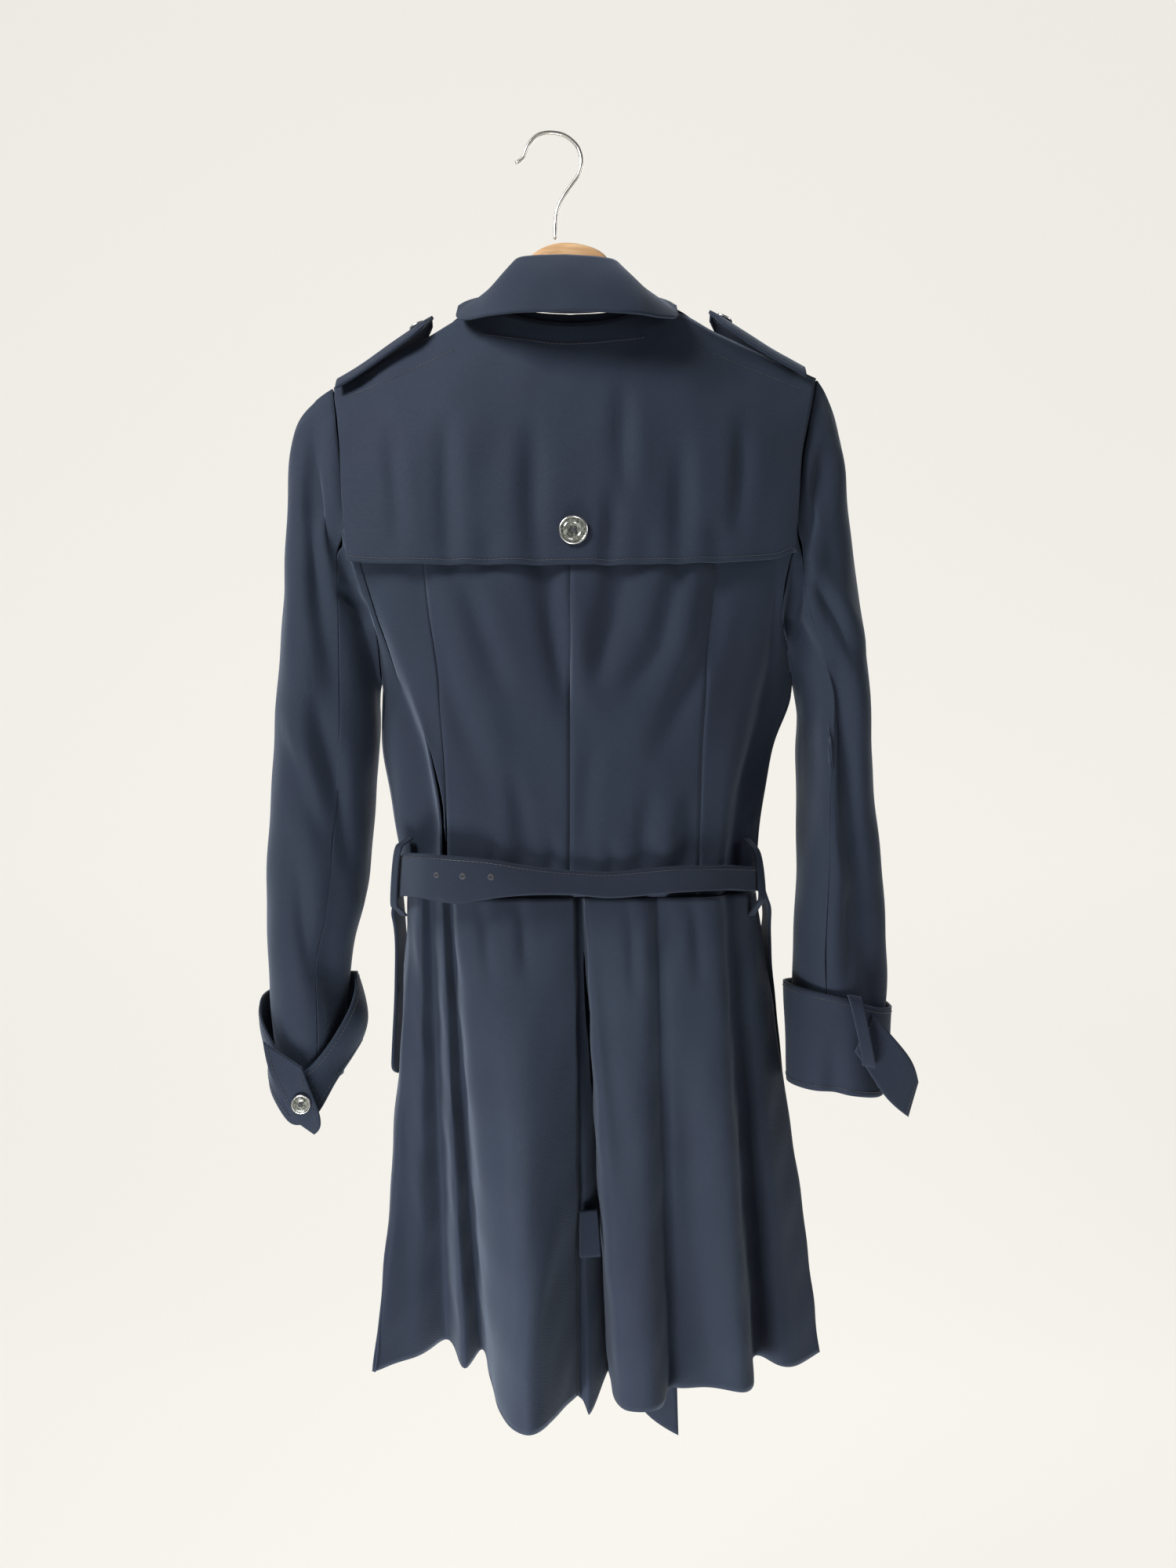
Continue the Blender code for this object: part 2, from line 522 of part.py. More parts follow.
def build_body(cloth):
    """Bodice, sleeves and skirt; returns the outer sheets of the fronts, which other pieces lie on."""
    back = back_sheet(ROWS)
    fronts = {side: front_sheet(side) for side in ("left", "right")}
    arm_rows = len(UPPER_ROWS)
    loops = {
        "left": np.concatenate([fronts["left"][arm_rows - 1::-1, -1], back[1:arm_rows, 0]]),
        "right": np.concatenate([back[arm_rows - 1::-1, -1], fronts["right"][1:arm_rows, 0]]),
    }
    sleeves = {side: sleeve_sheet(side, loops[side]) for side in loops}

    sheets = [back, fronts["left"], fronts["right"], sleeves["left"], sleeves["right"]]
    normals = [outward(back), outward(fronts["left"]), outward(fronts["right"]),
               outward(sleeves["left"], ring=True), outward(sleeves["right"], ring=True)]
    normals = share_normals(sheets[:3], normals[:3]) + normals[3:]
    normals = share_normals(sheets, normals)
    for side, normal in zip(("left", "right"), normals[3:]):
        seam = normal[0]
        seam[1::2] = unit(seam[:-1:2] + seam[2::2])
    back_normal = normals[0]
    front_normals = {"left": normals[1], "right": normals[2]}
    for side, sign in (("left", -1), ("right", 1)):
        neck, tip, reach = SHOULDER[side]
        up = unit(np.array([sign * (tip - neck), 0.0, reach - NECK_HALF]))
        for sheet, normal in ((back, back_normal), (fronts[side], front_normals[side])):
            on_shoulder = sign * sheet[0, :, 0] >= NECK_HALF - 0.5
            on_shoulder &= sign * sheet[0, :, 0] < reach + 1
            normal[0, on_shoulder] = up

    half = back.shape[1] // 2
    princess = 3
    for name, first, last in (
        ("back_side_left", 0, half - princess),
        ("back_centre_left", half - princess, half),
        ("back_centre_right", half, half + princess),
        ("back_side_right", half + princess, back.shape[1] - 1),
    ):
        panel(name, back[:, first:last + 1], back_normal[:, first:last + 1], cloth)
    for side in ("left", "right"):
        panel(f"front_{side}", fronts[side], front_normals[side], cloth)

    sleeve_normals = dict(zip(("left", "right"), normals[3:]))
    for side in ("left", "right"):
        grid, normal = sleeves[side], sleeve_normals[side]
        columns = grid.shape[1] - 1
        under = round(columns * 0.17)
        panel(f"sleeve_{side}_upper", grid[:, under:columns - under + 1],
              normal[:, under:columns - under + 1], cloth, clear=SLEEVE_CLEAR)
        wrapped = np.concatenate([grid[:, columns - under:-1], grid[:, :under + 1]], axis=1)
        wrapped_normal = np.concatenate([normal[:, columns - under:-1], normal[:, :under + 1]], axis=1)
        panel(f"sleeve_{side}_under", wrapped, wrapped_normal, cloth, clear=SLEEVE_CLEAR)

    skirt = skirt_sheet()
    skirt_normal = outward(skirt)
    names = column(SKIRT, "piece")
    for name in dict.fromkeys(names):
        first = names.index(name)
        last = len(names) - 1 - names[::-1].index(name)
        last = min(last + 1, len(names) - 1)
        panel(name, skirt[:, first:last + 1], skirt_normal[:, first:last + 1], cloth)
    return fronts


PLEAT_TAB = (    # the stay tab across the open pleat
    ("station", "x", "y", "drop", "half_x", "half_y", "half_drop"),
    ("top", 14, -36, 842, 6.5, 2, 0),
    ("middle", 14.5, -35, 860, 7.5, 2, 0),
    ("bottom", 15.5, -34, 879, 8, 2, 0),
)


# ---------------------------------------------------------------- storm cape
CAPE_HEM = {"left": (351, 344), "right": (351, 336)}    # drop at the centre and at the armhole
CAPE_ROWS = (0.14, 0.27, 0.42, 0.58)    # bodice rows that the cape shares, between its two edges
CAPE_LIFT = 1.8
CAPE_STAND = 2.4    # how far its loose lower edge stands off the back
CAPE_SEAM = 5       # its upper edge is sewn in this far below the shoulder seam,
CAPE_NECK = 9       # and this far below the neck at the centre


def cape_rows(side, across):
    edge_drop = float(back_edge_drop(side, across))
    high = UNDERARM - edge_drop
    sewn = CAPE_NECK + (CAPE_SEAM - CAPE_NECK) * min(1, across / NECK_HALF) ** 1.5
    middle, corner = CAPE_HEM[side]
    hem = middle + (corner - middle) * (across / SHOULDER[side][2]) ** 3
    return np.array([sewn / high, *CAPE_ROWS, (hem - edge_drop) / high])


def build_cape(cloth):
    under = back_sheet(cape_rows)
    normal = outward(under)
    free_of_sleeve = 2.0
    for edge, beside in ((0, 1), (-1, -2)):
        under[:, edge] += free_of_sleeve * unit(under[:, beside] - under[:, edge])
    lift = CAPE_LIFT + CAPE_STAND * np.linspace(0, 1, len(under)) ** 1.6
    outer, inner = laid_on(under, normal, np.repeat(lift[:, None], under.shape[1], axis=1))
    wall("storm_cape", outer, inner, cloth)
    return outer


# ---------------------------------------------------------------- collar and lapels
COLLAR = (    # stations from the centre back round to the front end of the right half
    ("station", "seam_x", "seam_y", "seam_drop", "roll_x", "roll_y", "roll_drop",
     "edge_x", "edge_y", "edge_drop"),
    ("centre_back", 0, -35, 149, 0, -44, 109, 0, -80, 162),
    ("back", 20, -34, 148.5, 20, -43, 109, 25, -80, 162),
    ("back_turn", 42, -29, 146, 38, -37, 110, 50, -75, 162),
    ("shoulder_back", 60, -19, 142, 47, -21, 118, 71, -55, 159.5),
    ("shoulder", 70, -4, 137, 53, -3, 124, 86, -29, 152),
    ("ridge", 70.4, 2.5, 137.8, 54.2, 4, 126.3, 86, -9, 137.5),
    ("shoulder_front", 70, 9, 138, 56, 12, 129, 86, 7, 135),
    ("front_turn", 63, 17, 146, 57, 22, 139, 90, 30, 153),
    ("front", 55, 24, 158, 50, 30, 152, 86, 46, 174),
    ("point", 47, 30, 170, 44, 36, 165, 72, 55, 204),
)
COLLAR_SHIFT = -3    # the collar sits a little to the left on the neck
FALL_ROWS = (0, 0.33, 0.68, 1)
FALL_SWELL = 5       # how far the fall bellies out between the roll and its edge
STAND_INSIDE = 4.4   # the stand lies this far inside the roll
STAND_LIFT = 2.5     # how far its lower edge clears the neck seam's line at the shoulders
STAND_LOW = 4.9      # how much lower it reaches at the centre of the back, to meet the hollowed neck there
STAND_LOW_WIDTH = 56


def collar_half_lines():
    table = np.array([row[1:] for row in COLLAR[1:]], float)
    keys = np.arange(len(table))
    at = np.linspace(0, len(table) - 1, 2 * len(table) - 1)
    lines = hooked(keys, table, at)
    mirrored = lines[:0:-1].copy()
    mirrored[:, (0, 3, 6)] *= -1
    return np.concatenate([mirrored, lines])


def build_collar(cloth):
    lines = collar_half_lines()
    seam, roll, edge = lines[:, 0:3].copy(), lines[:, 3:6].copy(), lines[:, 6:9].copy()
    for points in (seam, roll, edge):
        points[:, 2] *= -1
    roll[:, 0] += COLLAR_SHIFT
    edge[:, 0] += COLLAR_SHIFT
    away = unit(np.stack([roll[:, 0] * 0.6, roll[:, 1], np.full(len(roll), 12.0)], axis=-1))
    fall = np.stack([roll + (edge - roll) * row + away * FALL_SWELL * math.sin(math.pi * row) ** 0.8
                     for row in FALL_ROWS])
    panel("collar_fall", fall, outward(fall), cloth, "", DOUBLE)
    inside = unit(np.stack([-roll[:, 0], -roll[:, 1], np.zeros(len(roll))], axis=-1)) * STAND_INSIDE
    top = roll + inside - (0, 0, 3.5)
    behind = np.clip(1 - (seam[:, 0] / STAND_LOW_WIDTH) ** 2, 0, 1) * (seam[:, 1] < 0)
    stand = np.stack([top, seam + np.outer(STAND_LIFT - STAND_LOW * behind, (0, 0, 1))])
    panel("collar_stand", stand, outward(stand), cloth, "", CLOTH)


LAPEL = (("along", "reach"), (0.17, 54), (0.25, 74), (0.38, 70), (0.6, 50), (0.8, 28), (0.97, 5))
LAPEL_LIFT = 2.6
LAPEL_ROWS = {    # the left lapel goes out of sight under the right front, and is built as far as that
    "left": (0.17, 0.25, 0.32, 0.39, 0.45),
    "right": (0.17, 0.25, 0.34, 0.46, 0.58, 0.7, 0.84, 0.97),
}


def build_lapels(fronts, cloth):
    """Each front turned back on itself along the roll line."""
    for side, sign in (("left", -1), ("right", 1)):
        edge_run = NECK_HALF + FRONT_LAP
        fall_run = ROLL_END - SHOULDER[side][0]
        long_run = math.hypot(edge_run, fall_run)
        grid = []
        for along in LAPEL_ROWS[side]:
            reach = float(read(LAPEL, "along", "reach", along))
            line = []
            for share in (0.06, 0.35, 0.68, 1):
                across = NECK_HALF - along * edge_run + share * reach * fall_run / long_run
                drop = SHOULDER[side][0] + along * fall_run + share * reach * edge_run / long_run
                line.append((sign * across, surface_out(fronts[side], sign * across, drop), -drop))
            grid.append(line)
        grid = np.array(grid)
        if side == "left":
            grid = grid[:, ::-1]
        grid = grid[:, ::-1] if outward(grid)[2, 1, 1] < 0 else grid
        outer, inner = laid_on(grid, outward(grid), LAPEL_LIFT)
        wall(f"lapel_{side}", outer, inner, cloth)


def surface_out(sheet, x, drop, facing=1):
    """How far out a front (facing 1) or back (facing -1) sheet is at a place given by x and drop."""
    rows, columns = sheet.shape[:2]
    quads = [(r * columns + c, r * columns + c + 1, (r + 1) * columns + c + 1, (r + 1) * columns + c)
             for r in range(rows - 1) for c in range(columns - 1)]
    tree = BVHTree.FromPolygons(sheet.reshape(-1, 3).tolist(), quads)
    hit = tree.ray_cast(Vector((x, facing * 500, -drop)), Vector((0, -facing, 0)))[0]
    if hit is None:
        hit = tree.find_nearest(Vector((x, facing * 60, -drop)))[0]
    return hit.y


# ---------------------------------------------------------------- epaulettes
EPAULETTE = (    # from the sleeve seam to the buttoned end near the collar
    ("across", "rise", "droop", "half_wide"),
    (184, 4.5, 11, 20),
    (170, 5.5, 11, 21),
    (150, 8.4, 12, 22),
    (132, 11.7, 12, 23),
    (121, 13.8, 11, 23),
    (114, 15.2, 9, 17),
    (110, 15.8, 7, 8),
)


def build_epaulettes(cloth):
    tops = {}
    for side, sign in (("left", -1), ("right", 1)):
        grid = []
        for share in (-1, -0.55, 0, 0.55, 1):
            line = []
            for across, rise, droop, half_wide in EPAULETTE[1:]:
                ridge = shoulder_drop(side, across)
                line.append((sign * across, share * half_wide, -ridge + rise - droop * share**2))
            grid.append(line)
        grid = np.array(grid, float)
        normal = outward(grid)
        if normal[2, 2, 2] < 0:
            normal = -normal
        wall(f"epaulette_{side}", grid, grid - DOUBLE * normal, cloth)
        tops[side] = (grid[2, 4], normal[2, 4])
    return tops


# ---------------------------------------------------------------- cuffs, their straps and carrier
CUFF = {    # turned-back cuffs: angle round the sleeve (0 inner side, 90 front, 180 outer side, 270 back)
    "left": (
        ("angle", "top_drop", "bottom_drop"),
        (0, 664, 722), (45, 667, 728), (90, 672, 732), (135, 677, 736), (180, 684, 741),
        (225, 712, 762), (262, 738, 778), (285, 730, 774), (320, 690, 746), (360, 664, 722),
    ),
    "right": (
        ("angle", "top_drop", "bottom_drop"),
        (0, 671, 750), (45, 673, 748), (90, 677, 749), (135, 684, 750), (180, 690, 751),
        (225, 688, 757), (262, 681, 754), (285, 677, 752), (320, 673, 751), (360, 671, 750),
    ),
}
CUFF_RINGS = {    # half sizes of the cuff at its top and bottom, and its centre
    "left": (("drop", "centre", "forward", "half_across", "half_deep"),
             (660, 209, 11, 36, 48), (698, 205, 11, 43, 48), (740, 208, 12, 33, 44), (780, 208, 12, 31, 42)),
    "right": (("drop", "centre", "forward", "half_across", "half_deep"),
              (665, 213, 12, 43, 54), (700, 213, 12, 42, 53), (760, 212, 12, 39, 50)),
}
CUFF_COLUMNS = 24
CUFF_ROWS = (0, 0.33, 0.67, 1)
CUFF_TUCK = {"left": (0, 1, 0), "right": (284, 11, 6.5)}    # angle, width in degrees and depth of a tuck


def build_cuffs(cloth):
    for side, sign in (("left", -1), ("right", 1)):
        table = CUFF[side]
        grid = []
        degrees = np.linspace(0, 360, CUFF_COLUMNS + 1)
        top = read(table, "angle", "top_drop", degrees)
        bottom = read(table, "angle", "bottom_drop", degrees)
        tuck_at, tuck_wide, tuck_deep = CUFF_TUCK[side]
        for row in CUFF_ROWS:
            drop = top + (bottom - top) * row
            tuck = tuck_deep * row * np.exp(-(((degrees - tuck_at) / tuck_wide) ** 2))
            angle = np.radians(degrees)
            half_across = read(CUFF_RINGS[side], "drop", "half_across", drop) - tuck
            half_deep = read(CUFF_RINGS[side], "drop", "half_deep", drop) - tuck
            centre = read(CUFF_RINGS[side], "drop", "centre", drop)
            forward = read(CUFF_RINGS[side], "drop", "forward", drop)
            grid.append(np.stack([
                sign * (centre - half_across * np.cos(angle)),
                forward + half_deep * np.sin(angle),
                -drop,
            ], axis=-1))
        grid = np.array(grid)
        grid[:, -1] = grid[:, 0]
        if side == "right":
            grid = grid[:, ::-1]
        normal = outward(grid, ring=True)
        if normal[1, 3, 0] * (grid[1, 3, 0] - sign * CUFF_RINGS[side][1][1]) < 0:
            normal = -normal
        wall(f"cuff_{side}", grid, grid - CLOTH * normal, cloth, ring=True)


CUFF_STRAPS = {    # middle of each strap along its length, and the half width across it
    "left": (
        ("station", "x", "y", "drop", "half_x", "half_y", "half_drop"),
        ("sewn_end", -222, -37.0, 722, 15, -1, 10),
        ("on_cuff", -216, -38.0, 742, 16, 0, 8),
        ("button", -208, -38.0, 760, 14.5, 0, 7),
        ("taper", -205, -37.0, 772, 12, 0, 7),
        ("tip", -206, -36.0, 778, 8.5, 0, 6),
    ),
    "right": (
        ("station", "x", "y", "drop", "half_x", "half_y", "half_drop"),
        ("under_carrier", 224, -44.5, 704, -6, 0, 15),
        ("free", 240, -43.0, 724, -9, 1, 14),
        ("turn", 254, -36.0, 743, -9, 2, 15),
        ("tip", 266, -26.0, 759, -3.5, 2, 14),
    ),
}


def strip(table):
    """A strap as a sheet of three columns through its stations."""
    rows = []
    for _, x, y, drop, half_x, half_y, half_drop in table[1:]:
        middle = np.array((x, y, -drop), float)
        half = np.array((half_x, half_y, -half_drop), float)
        rows.append([middle - half, middle, middle + half])
    return np.array(rows)


def build_straps(cloth):
    for name, table, thickness in (
        ("cuff_strap_left", CUFF_STRAPS["left"], DOUBLE),
        ("cuff_strap_right", CUFF_STRAPS["right"], DOUBLE),
        ("pleat_tab", PLEAT_TAB, CLOTH),
    ):
        grid = strip(table)
        normal = outward(grid)
        if normal[0, 1, 1] > 0:
            normal = -normal
        wall(name, grid, grid - thickness * normal, cloth)
    carrier = strip((
        ("station", "x", "y", "drop", "half_x", "half_y", "half_drop"),
        ("top", 217.5, -42.6, 676, 5, 0, 1),
        ("over_top", 218.5, -49.5, 682, 5, 0, 1),
        ("over", 222.5, -52.5, 702, 5, 0, 1),
        ("over_end", 226.5, -51.0, 722, 5, 0, 1),
        ("end", 227.5, -46.5, 730, 5, 0, 1),
    ))
    normal = outward(carrier)
    normal = -normal if normal[2, 1, 1] > 0 else normal
    wall("cuff_carrier_right", carrier, carrier - CLOTH * normal, cloth)


# ---------------------------------------------------------------- belt, loops and buckle
BELT = (    # the belt from its pointed end to its buckle: middle and half width at each station
    ("station", "x", "y", "drop", "half_x", "half_y", "half_drop"),
    ("point", -142.6, 31.5, 748, -0.6, -3, 0.5),
    ("tail_end", -142, 31, 738, -2.5, -15, 0),
    ("tail", -140.2, 29.5, 700, -2.4, -16, 0),
    ("tail_high", -138, 25, 655, -2.4, -16, 0),
    ("fallen", -138.5, 11, 622, -2, -15, 5),
    ("left_turn", -138.8, -6, 603, -2, -10, 12),
    ("left_loop", -135.8, -24, 589, -1, -2, 15),
    ("left_side", -125.3, -46.5, 583, -0.5, -1, 16.5),
    ("left_eyelets", -108, -74, 583, 0, 0, 17),
    ("wide", -84, -87, 585, 0, 0, 17.5),
    ("narrowing", -56, -90, 584, 0, -2, 14),
    ("rolled", -28, -90, 585, 0, -4, 10),
    ("rolled", 0, -90, 586, 0, -4, 8.5),
    ("rolled", 28, -90, 588, 0, -4, 9),
    ("rolled", 56, -89, 586, 0, -3, 9.5),
    ("right_back", 84, -86, 584, 0, -2, 9.5),
    ("right_side", 112, -75, 584, 0, 0, 9.5),
    ("right_turn", 134.2, -50.5, 586, 0, 0, 9.5),
    ("right_loop", 147, -26, 588, 0.5, -1.5, 9),
    ("bulge", 154.8, -4, 604, 2, -12, 6),
    ("bulge", 157, 13, 626, 1, -15, 3),
    ("fallen", 157, 32, 660, 4, -16, 2),
    ("tail", 162.5, 54, 720, 7, -14.4, 1),
    ("tail", 171.3, 72, 790, 7.2, -14.3, 1),
    ("tail", 178.3, 90, 860, 7.6, -14.1, 1),
    ("buckle_end", 183.6, 104.8, 918, 8.2, -13.8, 1),
)
BELT_STEPS = 2       # columns between stations
LOOP_HALF_WIDE = 4.5
LOOP_ROOT = {"left": (-123.0, -27.0, 0.0), "right": (134.0, -24.0, 0.0)}    # on the bodice, beside the waist
BELT_LOOPS = {    # how far each belt loop stands out from its root, from its upper end to its lower one
    "left": (("out", "drop"), (2.6, 555), (9, 560), (14.2, 567), (17, 604), (14.5, 609), (7.6, 616)),
    "right": (("out", "drop"), (2.6, 556), (9, 562), (14.6, 571), (17.8, 599), (15, 606), (7.6, 616)),
}


def build_belt(cloth, metal):
    table = np.array([row[1:] for row in BELT[1:]], float)
    keys = np.arange(len(table))
    stations = hooked(keys, table, np.linspace(0, len(table) - 1, BELT_STEPS * (len(table) - 1) + 1))
    grid = strip([None] + [("", *station) for station in stations])
    grid = grid.transpose(1, 0, 2)
    normal = outward(grid)
    middle = grid.shape[1] // 2
    normal = -normal if normal[1, middle, 1] > 0 else normal
    wall("belt", grid, grid - DOUBLE * normal, cloth)

    for side, sign in (("left", -1), ("right", 1)):
        way = np.array((sign * 0.8, -0.6, 0.0))
        half = np.array((-sign * 0.6, -0.8, 0.0)) * LOOP_HALF_WIDE
        root = np.array(LOOP_ROOT[side])
        sheet = []
        for out, drop in BELT_LOOPS[side][1:]:
            middle_point = root - (0, 0, drop) + way * out
            sheet.append([middle_point - half, middle_point + half])
        sheet = np.array(sheet)
        loop_normal = outward(sheet)
        loop_normal = -loop_normal if loop_normal[2, 0] @ way < 0 else loop_normal
        wall(f"belt_loop_{side}", sheet, sheet - CLOTH * loop_normal, cloth)

    buckle_middle = np.array((186.3, 110.2, -941.0))
    across = unit(np.array((8.2, -13.8, 1.0)))
    down = unit(np.array((7.0, 10.0, -58.0)))
    corners = []
    for degrees in range(0, 360, 15):
        angle = math.radians(degrees + 7.5)
        square = 1 / max(abs(math.cos(angle)), abs(math.sin(angle))) ** 0.75
        corners.append(buckle_middle + across * 23 * math.cos(angle) * square
                       + down * 20 * math.sin(angle) * square)
    wire("belt_buckle", corners, 2.2, metal, closed=True)


def wire(name, points, radius, made_of, closed=False):
    """A round rod through points (millimetres from the coat's centre)."""
    curve = bpy.data.curves.new(name, "CURVE")
    curve.dimensions = "3D"
    curve.bevel_depth = radius * MM
    curve.bevel_resolution = 2
    curve.use_fill_caps = True
    line = curve.splines.new("POLY")
    line.points.add(len(points) - 1)
    for spot, point in zip(line.points, points):
        spot.co = (*((np.asarray(point, float) + (COAT_CENTRE, 0, 0)) * MM), 1)
    line.use_cyclic_u = closed
    thing = bpy.data.objects.new(name, curve)
    curve.materials.append(made_of)
    bpy.context.scene.collection.objects.link(thing)
    return thing


# ---------------------------------------------------------------- buttons
BUTTON_PROFILE = (    # share of the radius, height above the cloth
    ("radius", "height"),
    (0.0, 1.4), (0.62, 1.4), (0.76, 2.5), (0.94, 2.4), (1.0, 1.3), (0.9, 0.0), (0.0, 0.0),
)


def button(name, middle, facing, across, made_of):
    """A turned button with a raised rim, its back resting just off the cloth."""
    bm = bmesh.new()
    chain = [bm.verts.new((share * across / 2 * MM, 0, height * MM)) for share, height in BUTTON_PROFILE[1:]]
    edges = [bm.edges.new(pair) for pair in zip(chain, chain[1:])]
    bmesh.ops.spin(bm, geom=chain + edges, cent=(0, 0, 0), axis=(0, 0, 1), angle=2 * math.pi,
                   steps=12, use_merge=True)
    bmesh.ops.remove_doubles(bm, verts=bm.verts, dist=0.000001)
    bmesh.ops.recalc_face_normals(bm, faces=bm.faces)
    thing = shown(name, bm, made_of, 40)
    thing.rotation_mode = "QUATERNION"
    from_up = Vector((0, 0, 1)).rotation_difference(Vector(facing))
    thing.rotation_quaternion = from_up
    thing.location = Vector((np.asarray(middle, float) + (COAT_CENTRE, 0, 0)) * MM)
    return thing


# ---------------------------------------------------------------- hanger
HANGER_TOP = (    # the wooden hanger's upper edge, measured from the hook, not the coat's centre
    ("x", "drop", "half_thick"),
    (-156, 203, 3.5), (-120, 181.5, 4), (-80, 162, 4.5), (-62, 157.5, 4.5), (-50, 154.5, 4.5),
    (-42, 147.5, 5.5), (-36, 137.5, 6.5), (-28, 117, 7.5), (-18, 95.5, 8), (4, 84.3, 8), (26, 86.3, 8),
    (44, 92.5, 7.5),
    (52, 108, 7), (60, 133, 6.5), (70, 146.5, 5.5), (82, 154, 4.5), (94, 156, 4.5), (110, 160, 4.5),
    (150, 178.5, 4), (192, 198, 3.5),
)
HANGER_HIGH = 24
HOOK_WIRE = 1.8
HOOK = (    # the steel hook from its free tip over the top and down the stem
    ("x", "drop"),
    (-27.3, 22.5), (-23.5, 20.8), (-20.3, 17.2), (-18.3, 10.8), (-14.5, 4.8), (-8, -0.4), (0, -1.8),
    (9, -0.6),
    (17, 4), (23.2, 11.5), (25.4, 21), (23.4, 30.5), (17.5, 39.5), (11.5, 48), (7, 57), (4.8, 67),
    (4.4, 77), (4.4, 83.7),
)


def build_hanger(wood, metal):
    table = np.array(HANGER_TOP[1:], float)
    bm = bmesh.new()
    section = []
    for x, drop, half_thick in table:
        ring = [(x * MM, y * MM, -(drop + down) * MM) for y, down in (
            (-half_thick, 5), (-half_thick * 0.6, 0.8), (0, 0), (half_thick * 0.6, 0.8), (half_thick, 5),
            (half_thick, HANGER_HIGH - 4), (half_thick * 0.5, HANGER_HIGH), (-half_thick * 0.5, HANGER_HIGH),
            (-half_thick, HANGER_HIGH - 4))]
        section.append([bm.verts.new(point) for point in ring])
    for here, there in zip(section, section[1:]):
        corners = [(ring[k], ring[(k + 1) % len(ring)]) for ring in (here, there) for k in range(len(ring))]
        edges = [bm.edges.get(pair) or bm.edges.new(pair) for pair in corners]
        bmesh.ops.bridge_loops(bm, edges=edges)
    for ring in (section[0], section[-1]):
        bm.faces.new(ring)
    bmesh.ops.recalc_face_normals(bm, faces=bm.faces)
    shown("hanger_wood", bm, wood, 50)

    points = np.array(HOOK[1:], float)
    keys = np.concatenate([[0], np.cumsum(np.linalg.norm(np.diff(points, axis=0), axis=1))])
    route = hooked(keys, points, np.linspace(0, keys[-1], 44))
    wire("hanger_hook", [(x - COAT_CENTRE, 0, -drop) for x, drop in route], HOOK_WIRE, metal)


# ---------------------------------------------------------------- the whole coat
def main():
    for thing in list(bpy.data.objects):
        bpy.data.objects.remove(thing)
    navy = finish("navy_gabardine", (0.045, 0.055, 0.085), 0.85)
    horn = finish("grey_horn", (0.32, 0.32, 0.28), 0.25)
    steel = finish("brushed_steel", (0.55, 0.54, 0.52), 0.3, 1.0)
    beech = finish("beech", (0.5, 0.33, 0.19), 0.45)

    fronts = build_body(navy)
    cape = build_cape(navy)
    build_collar(navy)
    build_lapels(fronts, navy)
    epaulettes = build_epaulettes(navy)
    build_cuffs(navy)
    build_straps(navy)
    build_belt(navy, steel)
    build_hanger(beech, steel)

    lowest = surface_out(cape, 2.5, 325 + BUTTON_ACROSS / 2, facing=-1)
    button("button_cape", (2.5, lowest - GAP, -325), (0, -1, 0), BUTTON_ACROSS, horn)
    button("button_cuff_left", (-207, -38.8, -760), (0, -1, 0), CUFF_BUTTON_ACROSS, horn)
    button("button_cuff_right", (213, 64.3, -735), (0, 1, 0), CUFF_BUTTON_ACROSS, horn)
    for side in ("left", "right"):
        middle, up = epaulettes[side]
        button(f"button_epaulette_{side}", middle + GAP * up, up, CUFF_BUTTON_ACROSS, horn)
    for row, drop in enumerate((388, 470, 552)):
        for side, x in (("left", -52), ("right", 48)):
            out = max(surface_out(fronts["right"], x + aside * BUTTON_ACROSS / 2, drop) for aside in (-1, 1))
            button(f"button_front_{side}_{row + 1}", (x, out + GAP, -drop), (0, 1, 0), BUTTON_ACROSS, horn)


main()
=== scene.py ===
# %% [markdown]
# # A navy trench coat on a wooden hanger
# The coat is already built as plain walls of cloth, one for each cut piece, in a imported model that
# never moves. This script loads that model as a frame and dresses it: every wall is replaced by a fine
# sheet with its creases, then come the stitching, the buttons, the belt's eyelets, the hanger and the
# finishes. Everything is in metres, with +Z up, and the origin is under the top of the hook.

# %% load the frame
import math

import bmesh
import bpy
import numpy as np
from mathutils import Matrix, Vector
from mathutils.bvhtree import BVHTree


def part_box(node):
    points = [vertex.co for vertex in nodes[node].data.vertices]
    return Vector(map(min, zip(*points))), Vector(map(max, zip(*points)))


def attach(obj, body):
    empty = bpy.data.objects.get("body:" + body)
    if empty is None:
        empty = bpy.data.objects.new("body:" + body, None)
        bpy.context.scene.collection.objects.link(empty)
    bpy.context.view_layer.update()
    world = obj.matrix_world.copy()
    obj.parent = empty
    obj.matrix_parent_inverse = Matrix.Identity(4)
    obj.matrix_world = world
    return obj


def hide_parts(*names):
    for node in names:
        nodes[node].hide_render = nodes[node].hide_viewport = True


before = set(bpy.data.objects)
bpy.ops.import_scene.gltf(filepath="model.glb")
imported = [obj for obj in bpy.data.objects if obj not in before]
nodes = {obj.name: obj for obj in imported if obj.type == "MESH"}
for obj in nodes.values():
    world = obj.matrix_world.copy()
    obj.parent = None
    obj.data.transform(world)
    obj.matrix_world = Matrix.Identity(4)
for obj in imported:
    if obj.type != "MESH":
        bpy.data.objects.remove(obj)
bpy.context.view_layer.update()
print("walls and fittings:", len(nodes))

# %% [markdown]
# ## Sizes used all over
# The coat hangs a little to the right of the hook, so its own centre line is at 17 mm. Creases are
# given as a tailor would chalk them: how far across from that centre line, and how far down from the
# hook, both in millimetres.

